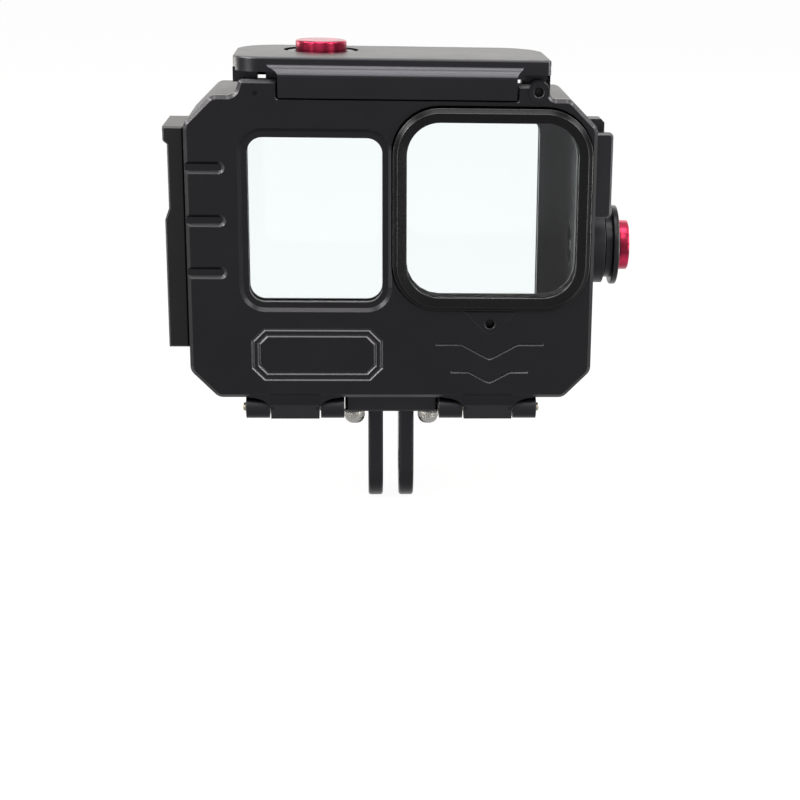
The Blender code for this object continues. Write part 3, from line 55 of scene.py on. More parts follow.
def deselectAll():
    if bpy.context.mode != 'OBJECT':
        bpy.ops.object.mode_set(mode='OBJECT')
    bpy.ops.object.select_all(action='DESELECT')


def workOn(piece):
    deselectAll()
    piece.select_set(True)
    bpy.context.view_layer.objects.active = piece


def newPiece(name):
    # names what was just added and puts its place into the mesh
    piece = bpy.context.object
    piece.name = name
    piece.data.name = name
    bpy.ops.object.transform_apply(location=True, rotation=True, scale=True)
    return piece


def placed(piece, centre, axis):
    workOn(piece)
    piece.rotation_euler = turns[axis]
    piece.location = [c * mm for c in centre]
    bpy.ops.object.transform_apply(location=True, rotation=True, scale=True)
    return piece


def editAll():
    bpy.ops.object.mode_set(mode='EDIT')
    bpy.ops.mesh.select_all(action='SELECT')


def closeShape():
    bpy.ops.mesh.select_all(action='SELECT')
    bpy.ops.mesh.normals_make_consistent(inside=False)
    bpy.ops.object.mode_set(mode='OBJECT')


def modify(piece, kind, **settings):
    # adds a modifier with its settings and applies it
    workOn(piece)
    modifier = piece.modifiers.new("shape", kind)
    for key, value in settings.items():
        setattr(modifier, key, value)
    bpy.ops.object.modifier_apply(modifier=modifier.name)


def block(name, low, high):
    deselectAll()
    middle = [(a + b) / 2 * mm for a, b in zip(low, high)]
    size = [(b - a) * mm for a, b in zip(low, high)]
    bpy.ops.mesh.primitive_cube_add(size=1, location=middle, scale=size)
    return newPiece(name)


def rod(name, centre, axis, radius, start, end, around=64):
    # a straight round bar along an axis, from start to end measured from the centre
    deselectAll()
    bpy.ops.mesh.primitive_cylinder_add(vertices=around, radius=radius * mm, depth=(end - start) * mm,
                                        location=(0, 0, (start + end) / 2 * mm))
    return placed(newPiece(name), centre, axis)


def turned(name, steps, around, ring=False):
    # a disc is pulled up step by step: each step is a radius and a height
    deselectAll()
    radius, height = steps[0]
    bpy.ops.mesh.primitive_circle_add(vertices=around, radius=radius * mm, location=(0, 0, height * mm),
                                      fill_type='NOTHING' if ring else 'NGON')
    piece = newPiece(name)
    editAll()
    pull = bpy.ops.mesh.extrude_edges_move if ring else bpy.ops.mesh.extrude_region_move
    for newRadius, newHeight in steps[1:] + ([steps[0]] if ring else []):
        pull(TRANSFORM_OT_translate={"value": (0, 0, (newHeight - height) * mm)})
        if abs(newRadius - radius) > 1e-5:
            grow = newRadius / radius
            bpy.ops.transform.resize(value=(grow, grow, 1), center_override=(0, 0, newHeight * mm))
        radius, height = newRadius, newHeight
    bpy.ops.mesh.select_all(action='SELECT')
    bpy.ops.mesh.remove_doubles(threshold=1e-7)
    closeShape()
    return piece


def traced(name, points, axis, start, end):
    # a corner is pulled from point to point, the loop is filled and the face is pulled along the axis
    order = {'x': (2, 0, 1), 'y': (0, 2, 1), 'z': (0, 1, 2)}[axis]

    def spot(point, depth):
        return Vector([(*point, depth)[i] * mm for i in order])
    deselectAll()
    bpy.ops.mesh.primitive_plane_add(size=0.001, location=spot(points[0], start))
    piece = newPiece(name)
    editAll()
    bpy.ops.mesh.merge(type='CENTER')
    last = points[0]
    for point in points[1:] + points[:1]:
        step = spot(point, start) - spot(last, start)
        bpy.ops.mesh.extrude_vertices_move(TRANSFORM_OT_translate={"value": step})
        last = point
    bpy.ops.mesh.select_all(action='SELECT')
    bpy.ops.mesh.remove_doubles(threshold=1e-6)
    bpy.ops.mesh.select_all(action='SELECT')
    bpy.ops.mesh.edge_face_add()
    step = spot(points[0], end) - spot(points[0], start)
    bpy.ops.mesh.extrude_region_move(TRANSFORM_OT_translate={"value": step})
    closeShape()
    return piece


def stacked(name, layers):
    # a rectangle is pulled up from layer to layer, each with its own sides
    deselectAll()
    x0, x1, y0, y1, z = layers[0]
    bpy.ops.mesh.primitive_plane_add(size=1, location=((x0 + x1) / 2 * mm, (y0 + y1) / 2 * mm, z * mm))
    piece = bpy.context.object
    piece.scale = ((x1 - x0) * mm, (y1 - y0) * mm, 1)
    piece = newPiece(name)
    editAll()
    for u0, u1, v0, v1, w in layers[1:]:
        bpy.ops.mesh.extrude_region_move(TRANSFORM_OT_translate={
            "value": (((u0 + u1) - (x0 + x1)) / 2 * mm, ((v0 + v1) - (y0 + y1)) / 2 * mm, (w - z) * mm)})
        bpy.ops.transform.resize(value=((u1 - u0) / (x1 - x0), (v1 - v0) / (y1 - y0), 1),
                                 center_override=((u0 + u1) / 2 * mm, (v0 + v1) / 2 * mm, w * mm))
        x0, x1, y0, y1, z = u0, u1, v0, v1, w
    closeShape()
    return piece


def arc(centre, radius, start, end, steps=8):
    angles = [math.radians(start + (end - start) * i / steps) for i in range(steps + 1)]
    return [(centre[0] + radius * math.cos(a), centre[1] + radius * math.sin(a)) for a in angles]


def roundedBox(centre, width, height, radius, grow=0.0, steps=8):
    across, up = width / 2 - radius, height / 2 - radius
    points = []
    for sx, sz, start in ((1, 1, 0), (-1, 1, 90), (-1, -1, 180), (1, -1, 270)):
        points += arc((centre[0] + sx * across, centre[1] + sz * up), radius + grow, start, start + 90, steps)
    return points


def octagonPoints(centre, width, height, cut):
    x, z = centre
    a, b = width / 2, height / 2
    return [(x + a, z - b + cut), (x + a, z + b - cut), (x + a - cut, z + b), (x - a + cut, z + b),
            (x - a, z + b - cut), (x - a, z - b + cut), (x - a + cut, z - b), (x + a - cut, z - b)]


def softCorners(points, reach, steps=4):
    # each corner gives way to a short curve that starts and ends the same reach from it
    result = []
    count = len(points)
    for i, point in enumerate(points):
        here = Vector(point)
        before = (Vector(points[i - 1]) - here).normalized() * reach + here
        after = (Vector(points[(i + 1) % count]) - here).normalized() * reach + here
        for k in range(steps + 1):
            t = k / steps
            spot = before * (1 - t) ** 2 + here * 2 * t * (1 - t) + after * t * t
            result.append((spot.x, spot.y))
    return result


def doneEditing():
    bpy.ops.mesh.select_all(action='DESELECT')
    bpy.ops.mesh.select_mode(type='VERT')
    bpy.ops.object.mode_set(mode='OBJECT')


def slopeFace(piece, facing, width, out):
    # insets the faces of one side and moves them out, which leaves a sloped border
    workOn(piece)
    bpy.ops.object.mode_set(mode='EDIT')
    bpy.ops.mesh.select_mode(type='FACE')
    bpy.ops.mesh.select_all(action='DESELECT')
    mesh = bmesh.from_edit_mesh(piece.data)
    for face in mesh.faces:
        if face.normal.dot(Vector(facings[facing])) > 0.9:
            face.select_set(True)
    mesh.select_flush_mode()
    bmesh.update_edit_mesh(piece.data)
    bpy.ops.mesh.inset(thickness=width * mm, depth=0, use_even_offset=True)
    bpy.ops.transform.translate(value=[way * out * mm for way in facings[facing]])
    doneEditing()
    return piece


def join(piece, tools, operation):
    for tool in tools:
        modify(piece, 'BOOLEAN', operation=operation, solver='EXACT', object=tool)
        bpy.data.objects.remove(tool, do_unlink=True)
    return piece


def cutOut(piece, *tools):
    return join(piece, tools, 'DIFFERENCE')


def weld(piece, *tools):
    return join(piece, tools, 'UNION')


def crisp(piece, width, segments, angle):
    # small rounded edges where the faces meet at more than the angle, and flats that shade flat
    workOn(piece)
    editAll()
    bpy.ops.mesh.remove_doubles(threshold=2e-6)
    bpy.ops.mesh.dissolve_limited(angle_limit=math.radians(0.5))
    bpy.ops.object.mode_set(mode='OBJECT')
    if width:
        modify(piece, 'BEVEL', width=width * mm, segments=segments, limit_method='ANGLE',
               angle_limit=math.radians(angle), miter_outer='MITER_ARC')
    bpy.ops.object.shade_smooth_by_angle(angle=math.radians(40))
    modify(piece, 'WEIGHTED_NORMAL', keep_sharp=True, weight=100)
    return piece


def markPaintedHighlightAndGloss(piece, axis, narrow, wide=0.0, upright=0.0):
    # marks each face for the painted highlight: a narrow one that leans away from the axis, such as a bevel
    # or an engraved wall, gets it in full and a wider one the share wide, and a negative mark on the upright
    # walls leaves them glossy
    mesh = piece.data
    paintedHighlightAndGloss = mesh.attributes.new("paintedHighlightAndGloss", 'FLOAT', 'FACE')
    flat = 0.985 if axis else 0.96
    for face in mesh.polygons:
        lean = abs(face.normal['xyz'.index(axis)]) if axis else max(abs(c) for c in face.normal)
        corners = [mesh.vertices[i].co for i in face.vertices]
        longest = max((a - b).length for a, b in zip(corners, corners[1:] + corners[:1]))
        if 0.15 < lean < flat:
            paintedHighlightAndGloss.data[face.index].value = 1.0 if face.area < longest * narrow * mm else wide
        elif lean <= 0.15:
            paintedHighlightAndGloss.data[face.index].value = upright


def fit(piece, body, finish, node):
    # dresses the piece, lets it move with its body and hides the node that it stands for
    piece.data.materials.clear()
    piece.data.materials.append(finishes[finish])
    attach(piece, body)
    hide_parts(node)


class Value:
    # wraps a socket so that maths on it adds nodes
    def __init__(self, tree, socket):
        self.tree = tree
        self.socket = socket

    def maths(self, operation, *others):
        node = self.tree.nodes.new('ShaderNodeMath')
        node.operation = operation
        for slot, item in zip(node.inputs, (self,) + others):
            if isinstance(item, Value):
                self.tree.links.new(item.socket, slot)
            else:
                slot.default_value = item
        return Value(self.tree, node.outputs[0])

    def __add__(self, other):
        return self.maths('ADD', other)

    def __mul__(self, other):
        return self.maths('MULTIPLY', other)

    def __sub__(self, other):
        return self.maths('SUBTRACT', other)

    def __rsub__(self, other):
        return self.maths('MULTIPLY', -1.0).maths('ADD', other)

    def limited(self):
        return self.maths('MAXIMUM', 0.0).maths('MINIMUM', 1.0)

    __radd__ = __add__
    __rmul__ = __mul__


class NodeTree:
    # one method adds every other node
    def __init__(self, tree):
        self.tree = tree

    def node(self, kind, output=0, settings=None, **sockets):
        # a socket is named by its words or, where two share a name, by n and its number
        item = self.tree.nodes.new(kind)
        for key, value in (settings or {}).items():
            setattr(item, key, value)
        for socket, value in sockets.items():
            key = socket.replace("_", " ")
            slot = item.inputs[int(key[1:])] if key[0] == "n" and key[1:].isdigit() else item.inputs[key]
            if isinstance(value, Value):
                self.tree.links.new(value.socket, slot)
            else:
                slot.default_value = value
        return Value(self.tree, item.outputs[output])

    def seenRays(self):
        # one for what the camera sees, straight, mirrored or through a pane, and nought for light
        camera, glossy, through = [self.node('ShaderNodeLightPath', output="Is %s Ray" % kind)
                                   for kind in ("Camera", "Glossy", "Transmission")]
        return (camera + glossy + through).limited()


class Finish(NodeTree):
    # one material and its shader
    def __init__(self, name, **sockets):
        self.material = bpy.data.materials.new(name)
        self.material.use_nodes = True
        super().__init__(self.material.node_tree)
        self.shader = self.tree.nodes["Principled BSDF"]
        for socket, value in sockets.items():
            self.shader.inputs[socket.replace("_", " ")].default_value = value

    def place(self):
        return self.node('ShaderNodeTexCoord', output="Object")

    def noise(self, scale, detail, rough=0.55, place=None):
        return self.node('ShaderNodeTexNoise', Vector=place or self.place(), Scale=scale, Detail=detail,
                         Roughness=rough)

    def blend(self, mask, first, second):
        first, second = [c if isinstance(c, Value) else (*c, 1) for c in (first, second)]
        return self.node('ShaderNodeMix', output=2, settings={"data_type": 'RGBA'}, n0=mask,
                         n6=first, n7=second)

    def feed(self, socket, value):
        self.tree.links.new(value.socket, self.shader.inputs[socket])

    def bump(self, height, strength, distance):
        return self.node('ShaderNodeBump', Height=height, Strength=strength, Distance=distance)


def tinted(colour, share):
    return tuple(c * share for c in colour)


def blackAnodised(name, colour, rough, grain=0.9, paintedHighlightGain=3.0, hollow=None):
    # bead-blasted and anodised: a fine grain, slow clouds in the gloss, and a painted highlight that makes
    # the marked edges paler
    finish = Finish(name, Metallic=1.0)
    clouds = finish.noise(90.0, 4.0)
    fine = finish.noise(5200.0, 2.0, 0.6)
    pits = finish.noise(2300.0, 3.0, 0.7)
    tone = (clouds * 0.5 + fine * 0.5).limited()
    plain = finish.blend(tone, tinted(colour, 0.88), tinted(colour, 1.12))
    # painted highlight: the marked faces turn paler, up to the given multiple of the colour, with the fine
    # grain in it
    paintedHighlightAndGloss = finish.node('ShaderNodeAttribute', output="Fac", settings={"attribute_name": "paintedHighlightAndGloss"})
    edge = (paintedHighlightAndGloss * (fine * 0.5 + 0.75)).limited()
    finish.feed("Base Color", finish.blend(edge, plain, tinted(colour, paintedHighlightGain)))
    gloss = (clouds * 0.10 + fine * 0.06 + (rough - 0.08)) * (1 - (paintedHighlightAndGloss * -1).limited())
    height = fine * 0.6 + pits * 0.4
    if hollow:
        # inside the hollow it is smooth and glossier than outside
        half, middle, up, back = [value * mm for value in hollow]
        x, y, z = [finish.node('ShaderNodeSeparateXYZ', output=i, Vector=finish.place()) for i in range(3)]
        inside = x.maths('ABSOLUTE').maths('LESS_THAN', half) * y.maths('LESS_THAN', back)
        inside = inside * (z - middle).maths('ABSOLUTE').maths('LESS_THAN', up)
        gloss = gloss * (1 - inside * 0.5)
        height = height * (1 - inside)
    finish.feed("Roughness", gloss.limited())
    finish.feed("Normal", finish.bump(height, grain, 0.00004))
    return finish.material


def redAnodised(name, along):
    # turned and dyed red: soft bands of painted reflection run along the turned side, with fine lathe marks
    # and a satin gloss
    finish = Finish(name, Metallic=1.0)
    stretch = finish.node('ShaderNodeVectorMath', settings={"operation": 'MULTIPLY'},
                          n0=finish.place(), n1=along)
    # painted reflection: bands stretched along the axis stand for the streaks that a turned side reflects
    paintedReflectionBands = finish.noise(330.0, 2.0, 0.5, stretch)
    fine = finish.noise(3800.0, 2.0)
    tone = ((paintedReflectionBands - 0.38) * 3.4 + (fine - 0.5) * 0.35).limited()
    finish.feed("Base Color", finish.blend(tone, (0.17, 0.012, 0.030), (0.56, 0.034, 0.090)))
    finish.feed("Roughness", (fine * 0.10 + paintedReflectionBands * 0.08 + 0.17).limited())
    finish.feed("Normal", finish.bump(fine, 0.25, 0.00003))
    return finish.material


def clearPane(name):
    # a coated clear pane: a trace of cyan in slow clouds, hardly any reflection
    finish = Finish(name, Metallic=0.0, Roughness=0.0, IOR=1.27, Transmission_Weight=1.0)
    clouds = finish.noise(60.0, 2.0)
    finish.feed("Base Color", finish.blend(clouds, (0.946, 0.974, 0.974), (0.954, 0.979, 0.979)))
    return finish.material


def softRubber(name, colour):
    finish = Finish(name, Metallic=0.0, Specular_IOR_Level=0.35)
    grain = finish.noise(2600.0, 3.0, 0.6)
    clouds = finish.noise(220.0, 3.0)
    tone = (grain * 0.5 + clouds * 0.5).limited()
    finish.feed("Base Color", finish.blend(tone, tinted(colour, 0.75), tinted(colour, 1.3)))
    finish.feed("Roughness", (grain * 0.18 + clouds * 0.1 + 0.52).limited())
    finish.feed("Normal", finish.bump(grain, 0.4, 0.00004))
    return finish.material


def bareSteel(name, colour, rough):
    # drawn or turned bare metal: streaked tone, small scratches and slight tarnish
    finish = Finish(name, Metallic=1.0)
    streaks = finish.noise(1400.0, 3.0, 0.6)
    tarnish = finish.noise(300.0, 4.0, 0.6)
    tone = (tarnish * 0.7 + streaks * 0.3).limited()
    finish.feed("Base Color", finish.blend(tone, tinted(colour, 0.72), colour))
    finish.feed("Roughness", (streaks * 0.16 + tarnish * 0.10 + (rough - 0.13)).limited())
    finish.feed("Normal", finish.bump(streaks, 0.3, 0.00003))
    return finish.material


shellHollow = (36.5, 47.25, 26.4, 17.0)    # half width, middle height, half height and back
# the last number given to cover and ring sets how much paler their painted edge highlight is
finishes = {
    "shell": blackAnodised("blackShell", (0.0213, 0.0211, 0.0235), 0.40, hollow=shellHollow),
    "cover": blackAnodised("blackCover", (0.0172, 0.0170, 0.0186), 0.36, paintedHighlightGain=3.1),
    "ring": blackAnodised("blackRing", (0.0124, 0.0124, 0.0132), 0.27, paintedHighlightGain=3.6),
    "lid": blackAnodised("blackLid", (0.0195, 0.0195, 0.0220), 0.37),
    "mount": blackAnodised("blackMount", (0.0205, 0.0205, 0.0225), 0.34),
    "frame": blackAnodised("blackFrame", (0.018, 0.018, 0.019), 0.40, grain=0.8),
    "bushing": blackAnodised("blackTurned", (0.021, 0.021, 0.023), 0.30),
    "shutter": redAnodised("redTopCap", (1, 1, 0.03)),
    "side": redAnodised("redSideCap", (0.03, 1, 1)),
    "glass": clearPane("clearPane"),
    "rubber": softRubber("blackRubber", (0.012, 0.012, 0.012)),
    "steel": bareSteel("brightSteel", (0.56, 0.52, 0.46), 0.28),
    "screw": bareSteel("darkSteel", (0.055, 0.055, 0.058), 0.34),
    "knurled": bareSteel("knurledSteel", (0.36, 0.35, 0.335), 0.30),
    "brass": bareSteel("paleBrass", (0.27, 0.24, 0.19), 0.32),
}
print("finishes ready:", len(finishes))


# a window is its centre, width, height and corner radius; a hinge's axis is y and z, and its
# root is how high the lugs and knuckles reach into the body
port = {
    "window": ((19.35, 55.33), 33.1, 33.8, 6.4), "ring": 2.75, "front": -19.8, "back": -16.9, "dish": 0.5,
    "slopes": ((0.5, 0.32), (0.4, 0.48)),    # width and rise
}
hinge = {
    "middles": (-19.25, 19.25), "axis": (-14.4, 15.2), "radius": 2.3, "bore": 1.15,
    "lugHalf": 4.8, "knuckle": (5.1, 9.75), "root": 18.4,
}
lidHinge = {"axis": (8.8, 79.0), "radius": 1.9, "bore": 1.2}
buttons = {
    # the bushing's outside is a path of radius and height, which ends on the floor of its well
    "shutter": {"seat": (-13.65, 0.0, 76.7), "axis": 'z', "capBase": 4.1, "capTop": 9.15, "stem": 1.8,
                "spring": (1.35, 4.55), "floor": 2.3,
                "outside": [(6.2, 0.3), (6.2, 2.2), (6.75, 2.5), (6.75, 6.88), (6.63, 7.0), (5.32, 7.0),
                            (5.2, 6.88), (5.2, 2.3)]},
    "side": {"seat": (43.05, 0.0, 45.7), "axis": 'x', "capBase": 2.9, "capTop": 5.3, "stem": 5.2,
             "spring": (0.15, 3.35), "floor": 1.1,
             "outside": [(6.6, 0.3), (6.6, 1.65), (7.85, 1.65), (8.0, 1.8), (8.0, 2.65), (7.88, 2.82),
                         (7.7, 2.9), (5.5, 2.9), (5.3, 2.75), (5.3, 1.1)]},
}
buttonSizes = {
    # shared by both buttons
    "cap": 5.0, "well": 2.9, "socket": 1.65, "sleeve": 4.0, "shaft": 1.5, "ringGroove": 1.15,
    "coil": 2.35, "wire": 0.24, "coils": 3, "travel": 1.5,
}


def plug(name, window, start, end, grow=0.0, steps=8):
    # a window's shape from front to back, wider all round by grow
    return traced(name, roundedBox(*window, grow, steps), 'y', start, end)


def corners(across, up):
    return [(x, z) for x in (-across, across) for z in (-up, up)]


cover = {
    "half": 39.65, "bottom": 17.8, "top": 76.7, "corner": 5.4, "soft": 0.9,
    "front": -17.6, "back": -14.4, "edge": 0.7,
    "notch": (-21.9, 24.1, 76.15), "web": 79.4, "lugTop": 79.75,
    "lugCurve": ((-28.3, 0.85), (-31.3, 78.7, 2.0)), "pinHole": (-25.9, 77.3, 0.45),
    "boss": (28.0, 78.1, 2.15), "bossFillet": 1.3, "flare": (4.2, 2.5),
    "screen": ((-14.8, 52.95), 25.9, 31.9, 3.0), "bezel": 1.85, "bezelDepth": 0.7,
    "retainer": ((-14.8, 52.95), 30.7, 36.7, 1.2), "retainerBack": -12.45,
    "pad": (6.3, 36.4, 32.3, 1.55),          # half width, top, middle and radius of its tip
    "inserts": ((28.0, -18.0, 77.95), (19.35, -17.95, 32.8)),
    "plaque": ((-14.7, 26.6), 25.8, 10.6, 2.5), "groove": 0.6, "relief": 0.19,
    "chevrons": ((28.95, 10.7, 5.6, 2.9), (23.35, 7.7, 4.1, 2.1)),    # top, reach, half of the V and its drop
    "grips": (63.1, 52.95, 42.8), "gripEnd": -33.15, "gripHalf": 1.2,
}


def bodyPoints(size=cover):
    z = (size["bottom"] + size["top"]) / 2
    points = octagonPoints((0, z), 2 * size["half"], size["top"] - size["bottom"], size["corner"])
    return softCorners(points, size["soft"])


def topEdge(size=cover):
    # along the top, from right to left: fillet, boss, the low web beside it, lug and its S-shaped end
    bx, bz, radius = size["boss"]
    top, web, lugTop, fillet = size["top"], size["web"], size["lugTop"], size["bossFillet"]
    fz = top + fillet
    fx = bx + math.sqrt((radius + fillet) ** 2 - (fz - bz) ** 2)
    lean = math.degrees(math.atan2(fz - bz, fx - bx))
    left, right = size["notch"][0] + 0.5, size["notch"][1] - 0.5
    points = arc((fx, fz), fillet, -90, lean - 180, 6)
    points += arc((bx, bz), radius, lean, 180 - math.degrees(math.asin((web - bz) / radius)), 16)[1:]
    points += [(right, web), (right, top), (left, top), (left, lugTop)]
    (convexX, convexR), (hollowX, hollowZ, hollowR) = size["lugCurve"]
    points += arc((convexX, lugTop - convexR), convexR, 90, 180, 6)
    return points + arc((hollowX, hollowZ), hollowR, -5, -90, 8)


def addLugs(plate, size=cover):
    y, z = hinge["axis"]
    radius, half, root = hinge["radius"], hinge["lugHalf"], hinge["root"]
    front, bottom = size["front"], size["bottom"]
    wide, high = size["flare"]
    for middle in hinge["middles"]:
        side = [(front, root), (front, bottom - 1.5), (front + 1.2, z - radius + 0.3)]
        side += arc((y, z), radius, 270, 360, 10) + arc((y, z), radius, 10, 90, 8) + [(y, root)]
        weld(plate, traced("lug", side, 'x', middle - half, middle + half))
        for way in (-1, 1):
            # a hollow curve spreads from the lug into the plate's bottom edge
            curve = [(half + wide * (1 - x), bottom - high * (1 - w)) for x, w in arc((0, 0), 1, 0, 90, 12)]
            curve = [(half - 0.6, root), (half - 0.6, bottom - high)] + curve + [(half + wide, root)]
            curve = [(middle + way * x, w) for x, w in curve]
            weld(plate, traced("flare", curve, 'y', front + 0.15, front + 0.6))


def cutWindows(plate, size=cover):
    # the screen's opening with its sloped bezel, and the seats of its pane and retainer behind
    front, depth, screen = size["front"], size["bezelDepth"], size["screen"]
    bezel = plug("bezel", screen, front - 1, front, size["bezel"])
    cutOut(plate, slopeFace(bezel, 'rear', depth, depth),
           plug("opening", screen, front - 1, -11),
           plug("paneSeat", screen, front + 1.7, -11, 1.4),
           plug("retainerSeat", size["retainer"], -13.3, -11))
    # the port's opening, with the seats of its ring and gasket in front
    window, ring = port["window"], port["ring"]
    seatEdge = plug("seatEdge", window, front - 1, front, ring + 0.35)
    cutOut(plate, slopeFace(seatEdge, 'rear', 0.3, 0.4),
           plug("ringSeat", window, front - 2, front + 1.0, ring + 0.06),
           plug("gasketSeat", window, front - 1, front + 1.55, 1.6),
           plug("opening", window, front - 1, -13))


def engrave(plate, size=cover):
    front, groove, relief = size["front"], size["groove"], size["relief"]
    centre, width, height, cut = size["plaque"]

    def octagon(step, start, end):
        # the cut corner shrinks by 2 less the root of 2, which keeps the line's width even
        less = 2 * step * groove
        points = octagonPoints(centre, width - less, height - less, cut - step * groove * 0.586)
        return traced("line", points, 'y', start, end)
    # two nested octagons: each line is what lies between one outline and the next
    for step in (0, 2):
        line = cutOut(octagon(step, front - 1, front), octagon(step + 1, front - 2, front + 2))
        cutOut(plate, slopeFace(line, 'rear', groove * 0.44, relief))
    # two chevrons under the port and three grip slots at the left edge
    middle = port["window"][0][0]
    for top, reach, half, drop in size["chevrons"]:
        tip = 0.2 - drop
        line = [(-reach, 0), (-half, 0), (-0.6, tip), (0, -drop), (0.6, tip), (half, 0), (reach, 0)]
        line = [(middle + x, top + z) for x, z in line]
        line += [(x, z - 0.5) for x, z in reversed(line)]
        cutOut(plate, slopeFace(traced("chevron", line, 'y', front - 1, front), 'rear', 0.2, relief))
    half = size["gripHalf"]
    for z in size["grips"]:
        slot = [(-41, z - half)] + arc((size["gripEnd"], z), half, -90, 90, 12) + [(-41, z + half)]
        cutOut(plate, slopeFace(traced("grip", slot, 'y', front - 1, front), 'rear', half / 2, half / 2))


def makeCover(size=cover):
    front, back, edge = size["front"], size["back"], size["edge"]
    outline = bodyPoints()
    upper = 3 * len(outline) // 8      # the first three of the eight corners
    plate = traced("frontPlate", outline[:upper] + topEdge() + outline[upper:], 'y', back, front + edge)
    # the bright bevel round the front, and the notch that the latch bar drops into
    slopeFace(plate, 'front', edge, edge)
    left, right, floor = size["notch"]
    cutOut(plate, block("notch", (left, front - 2, floor), (right, back + 2, 81)))
    x, z, radius = size["pinHole"]
    cutOut(plate, rod("pinHole", (x, front, z), 'y', radius, -1, 0.9, 24))
    addLugs(plate)
    weld(plate, plug("screenPad", size["retainer"], -16.0, size["retainerBack"], 0.7))
    x, z, radius = size["boss"]
    weld(plate, rod("raised", (x, 0, z), 'y', radius - 0.15, front - 0.4, -16.0))
    # the small pad under the port, with its rounded tip down
    x = port["window"][0][0]
    half, top, middle, radius = size["pad"]
    pad = [(x + half, top), (x - half, top)] + arc((x, middle), radius, 225, 315, 8)
    weld(plate, slopeFace(traced("pad", pad, 'y', front + 0.6, front - 0.15), 'front', 0.2, 0.2))
    cutWindows(plate)
    for place in size["inserts"]:
        cutOut(plate, rod("mouth", place, 'y', 1.08, -1, 0.5, 32),
               rod("hole", place, 'y', 1.5, 0.32, 2.5, 32))
    for middle in hinge["middles"]:
        cutOut(plate, rod("bore", (middle, *hinge["axis"]), 'x', hinge["bore"], -9, 9, 32))
    engrave(plate)
    markPaintedHighlightAndGloss(crisp(plate, 0.13, 2, 25), 'y', 0.8, 0.3)
    fit(plate, "cover", "cover", "front_cover")


def makePortRing(size=port):
    front, window, steps = size["front"], size["window"], 14
    bevel, rise = [sum(slope) for slope in zip(*size["slopes"])]
    # the back part is straight, then the face steps in over the bevel
    ring = plug("portRing", window, size["back"], front + rise, size["ring"], steps)
    for slope in size["slopes"]:
        slopeFace(ring, 'front', *slope)
    # the front dishes in, a little past the opening's edge
    face = size["ring"] - bevel
    slopeFace(ring, 'front', face + 0.2, -size["dish"] * (face + 0.2) / face)
    cutOut(ring, plug("paneSeat", window, front + size["dish"] + 0.65, -12.5, 1.6, steps),
           plug("opening", window, -21, -12, 0.0, steps))
    markPaintedHighlightAndGloss(crisp(ring, 0.1, 2, 25), 'y', 0.45, upright=-0.8)
    fit(ring, "cover", "ring", "port_ring")


def makeRetainer(size=cover):
    plate = plug("screenRetainer", size["retainer"], -13.15, size["retainerBack"], -0.3)
    cutOut(plate, plug("opening", size["screen"], -14, -11))
    fit(crisp(plate, 0.12, 2, 25), "cover", "frame", "screen_retainer")


def makeInserts():
    # threaded sleeves: a small chamfer leads into the bore
    wall = [(1.35, 2.2), (1.35, 0.5), (1.25, 0.4), (1.0, 0.4), (0.8, 0.65), (0.8, 2.2)]
    for number, place in enumerate(cover["inserts"], 1):
        sleeve = placed(turned("filterInsert%d" % number, wall, 48, ring=True), place, 'y')
        fit(crisp(sleeve, 0.04, 1, 35), "cover", "screw", "filter_insert_%d" % number)


shell = {
    "front": -14.1, "straight": 10.6, "back": 17.6, "taper": 1.4,
    "cavity": ((0, 47.25), 72.5, 52.1, 4.0), "cavityBack": 14.2, "groove": (0.4, 1.6),
    "window": ((0, 47.25), 62.4, 43.5, 2.5), "pocket": 1.8,
    # x, z and y from end to end
    "fin": ((39.05, 43.15), (53.25, 69.95), (-13.95, -11.75)),
    "guard": ((36.95, 41.9), (68.8, 72.1), (-8.6, -4.1)), "chamfer": 0.7,
    "seat": (39.0, 4.05, 7.7),               # start, height and radius
    "stemRadius": 4.3, "ears": ((26.6, 29.4), (-29.4, -26.6)),
}


def addKnuckles(body):
    y, z = hinge["axis"]
    radius, root = hinge["radius"], hinge["root"]
    near, far = hinge["knuckle"]
    side = arc((y, z), radius, 90, 270, 16)
    side += [(-10.4, z - radius), (-8.1, z), (-8.1, root), (-13.95, root), (-13.95, root - 0.9)]
    for middle in hinge["middles"]:
        for start, end in ((-far, -near), (near, far)):
            weld(body, traced("knuckle", side, 'x', middle + start, middle + end))


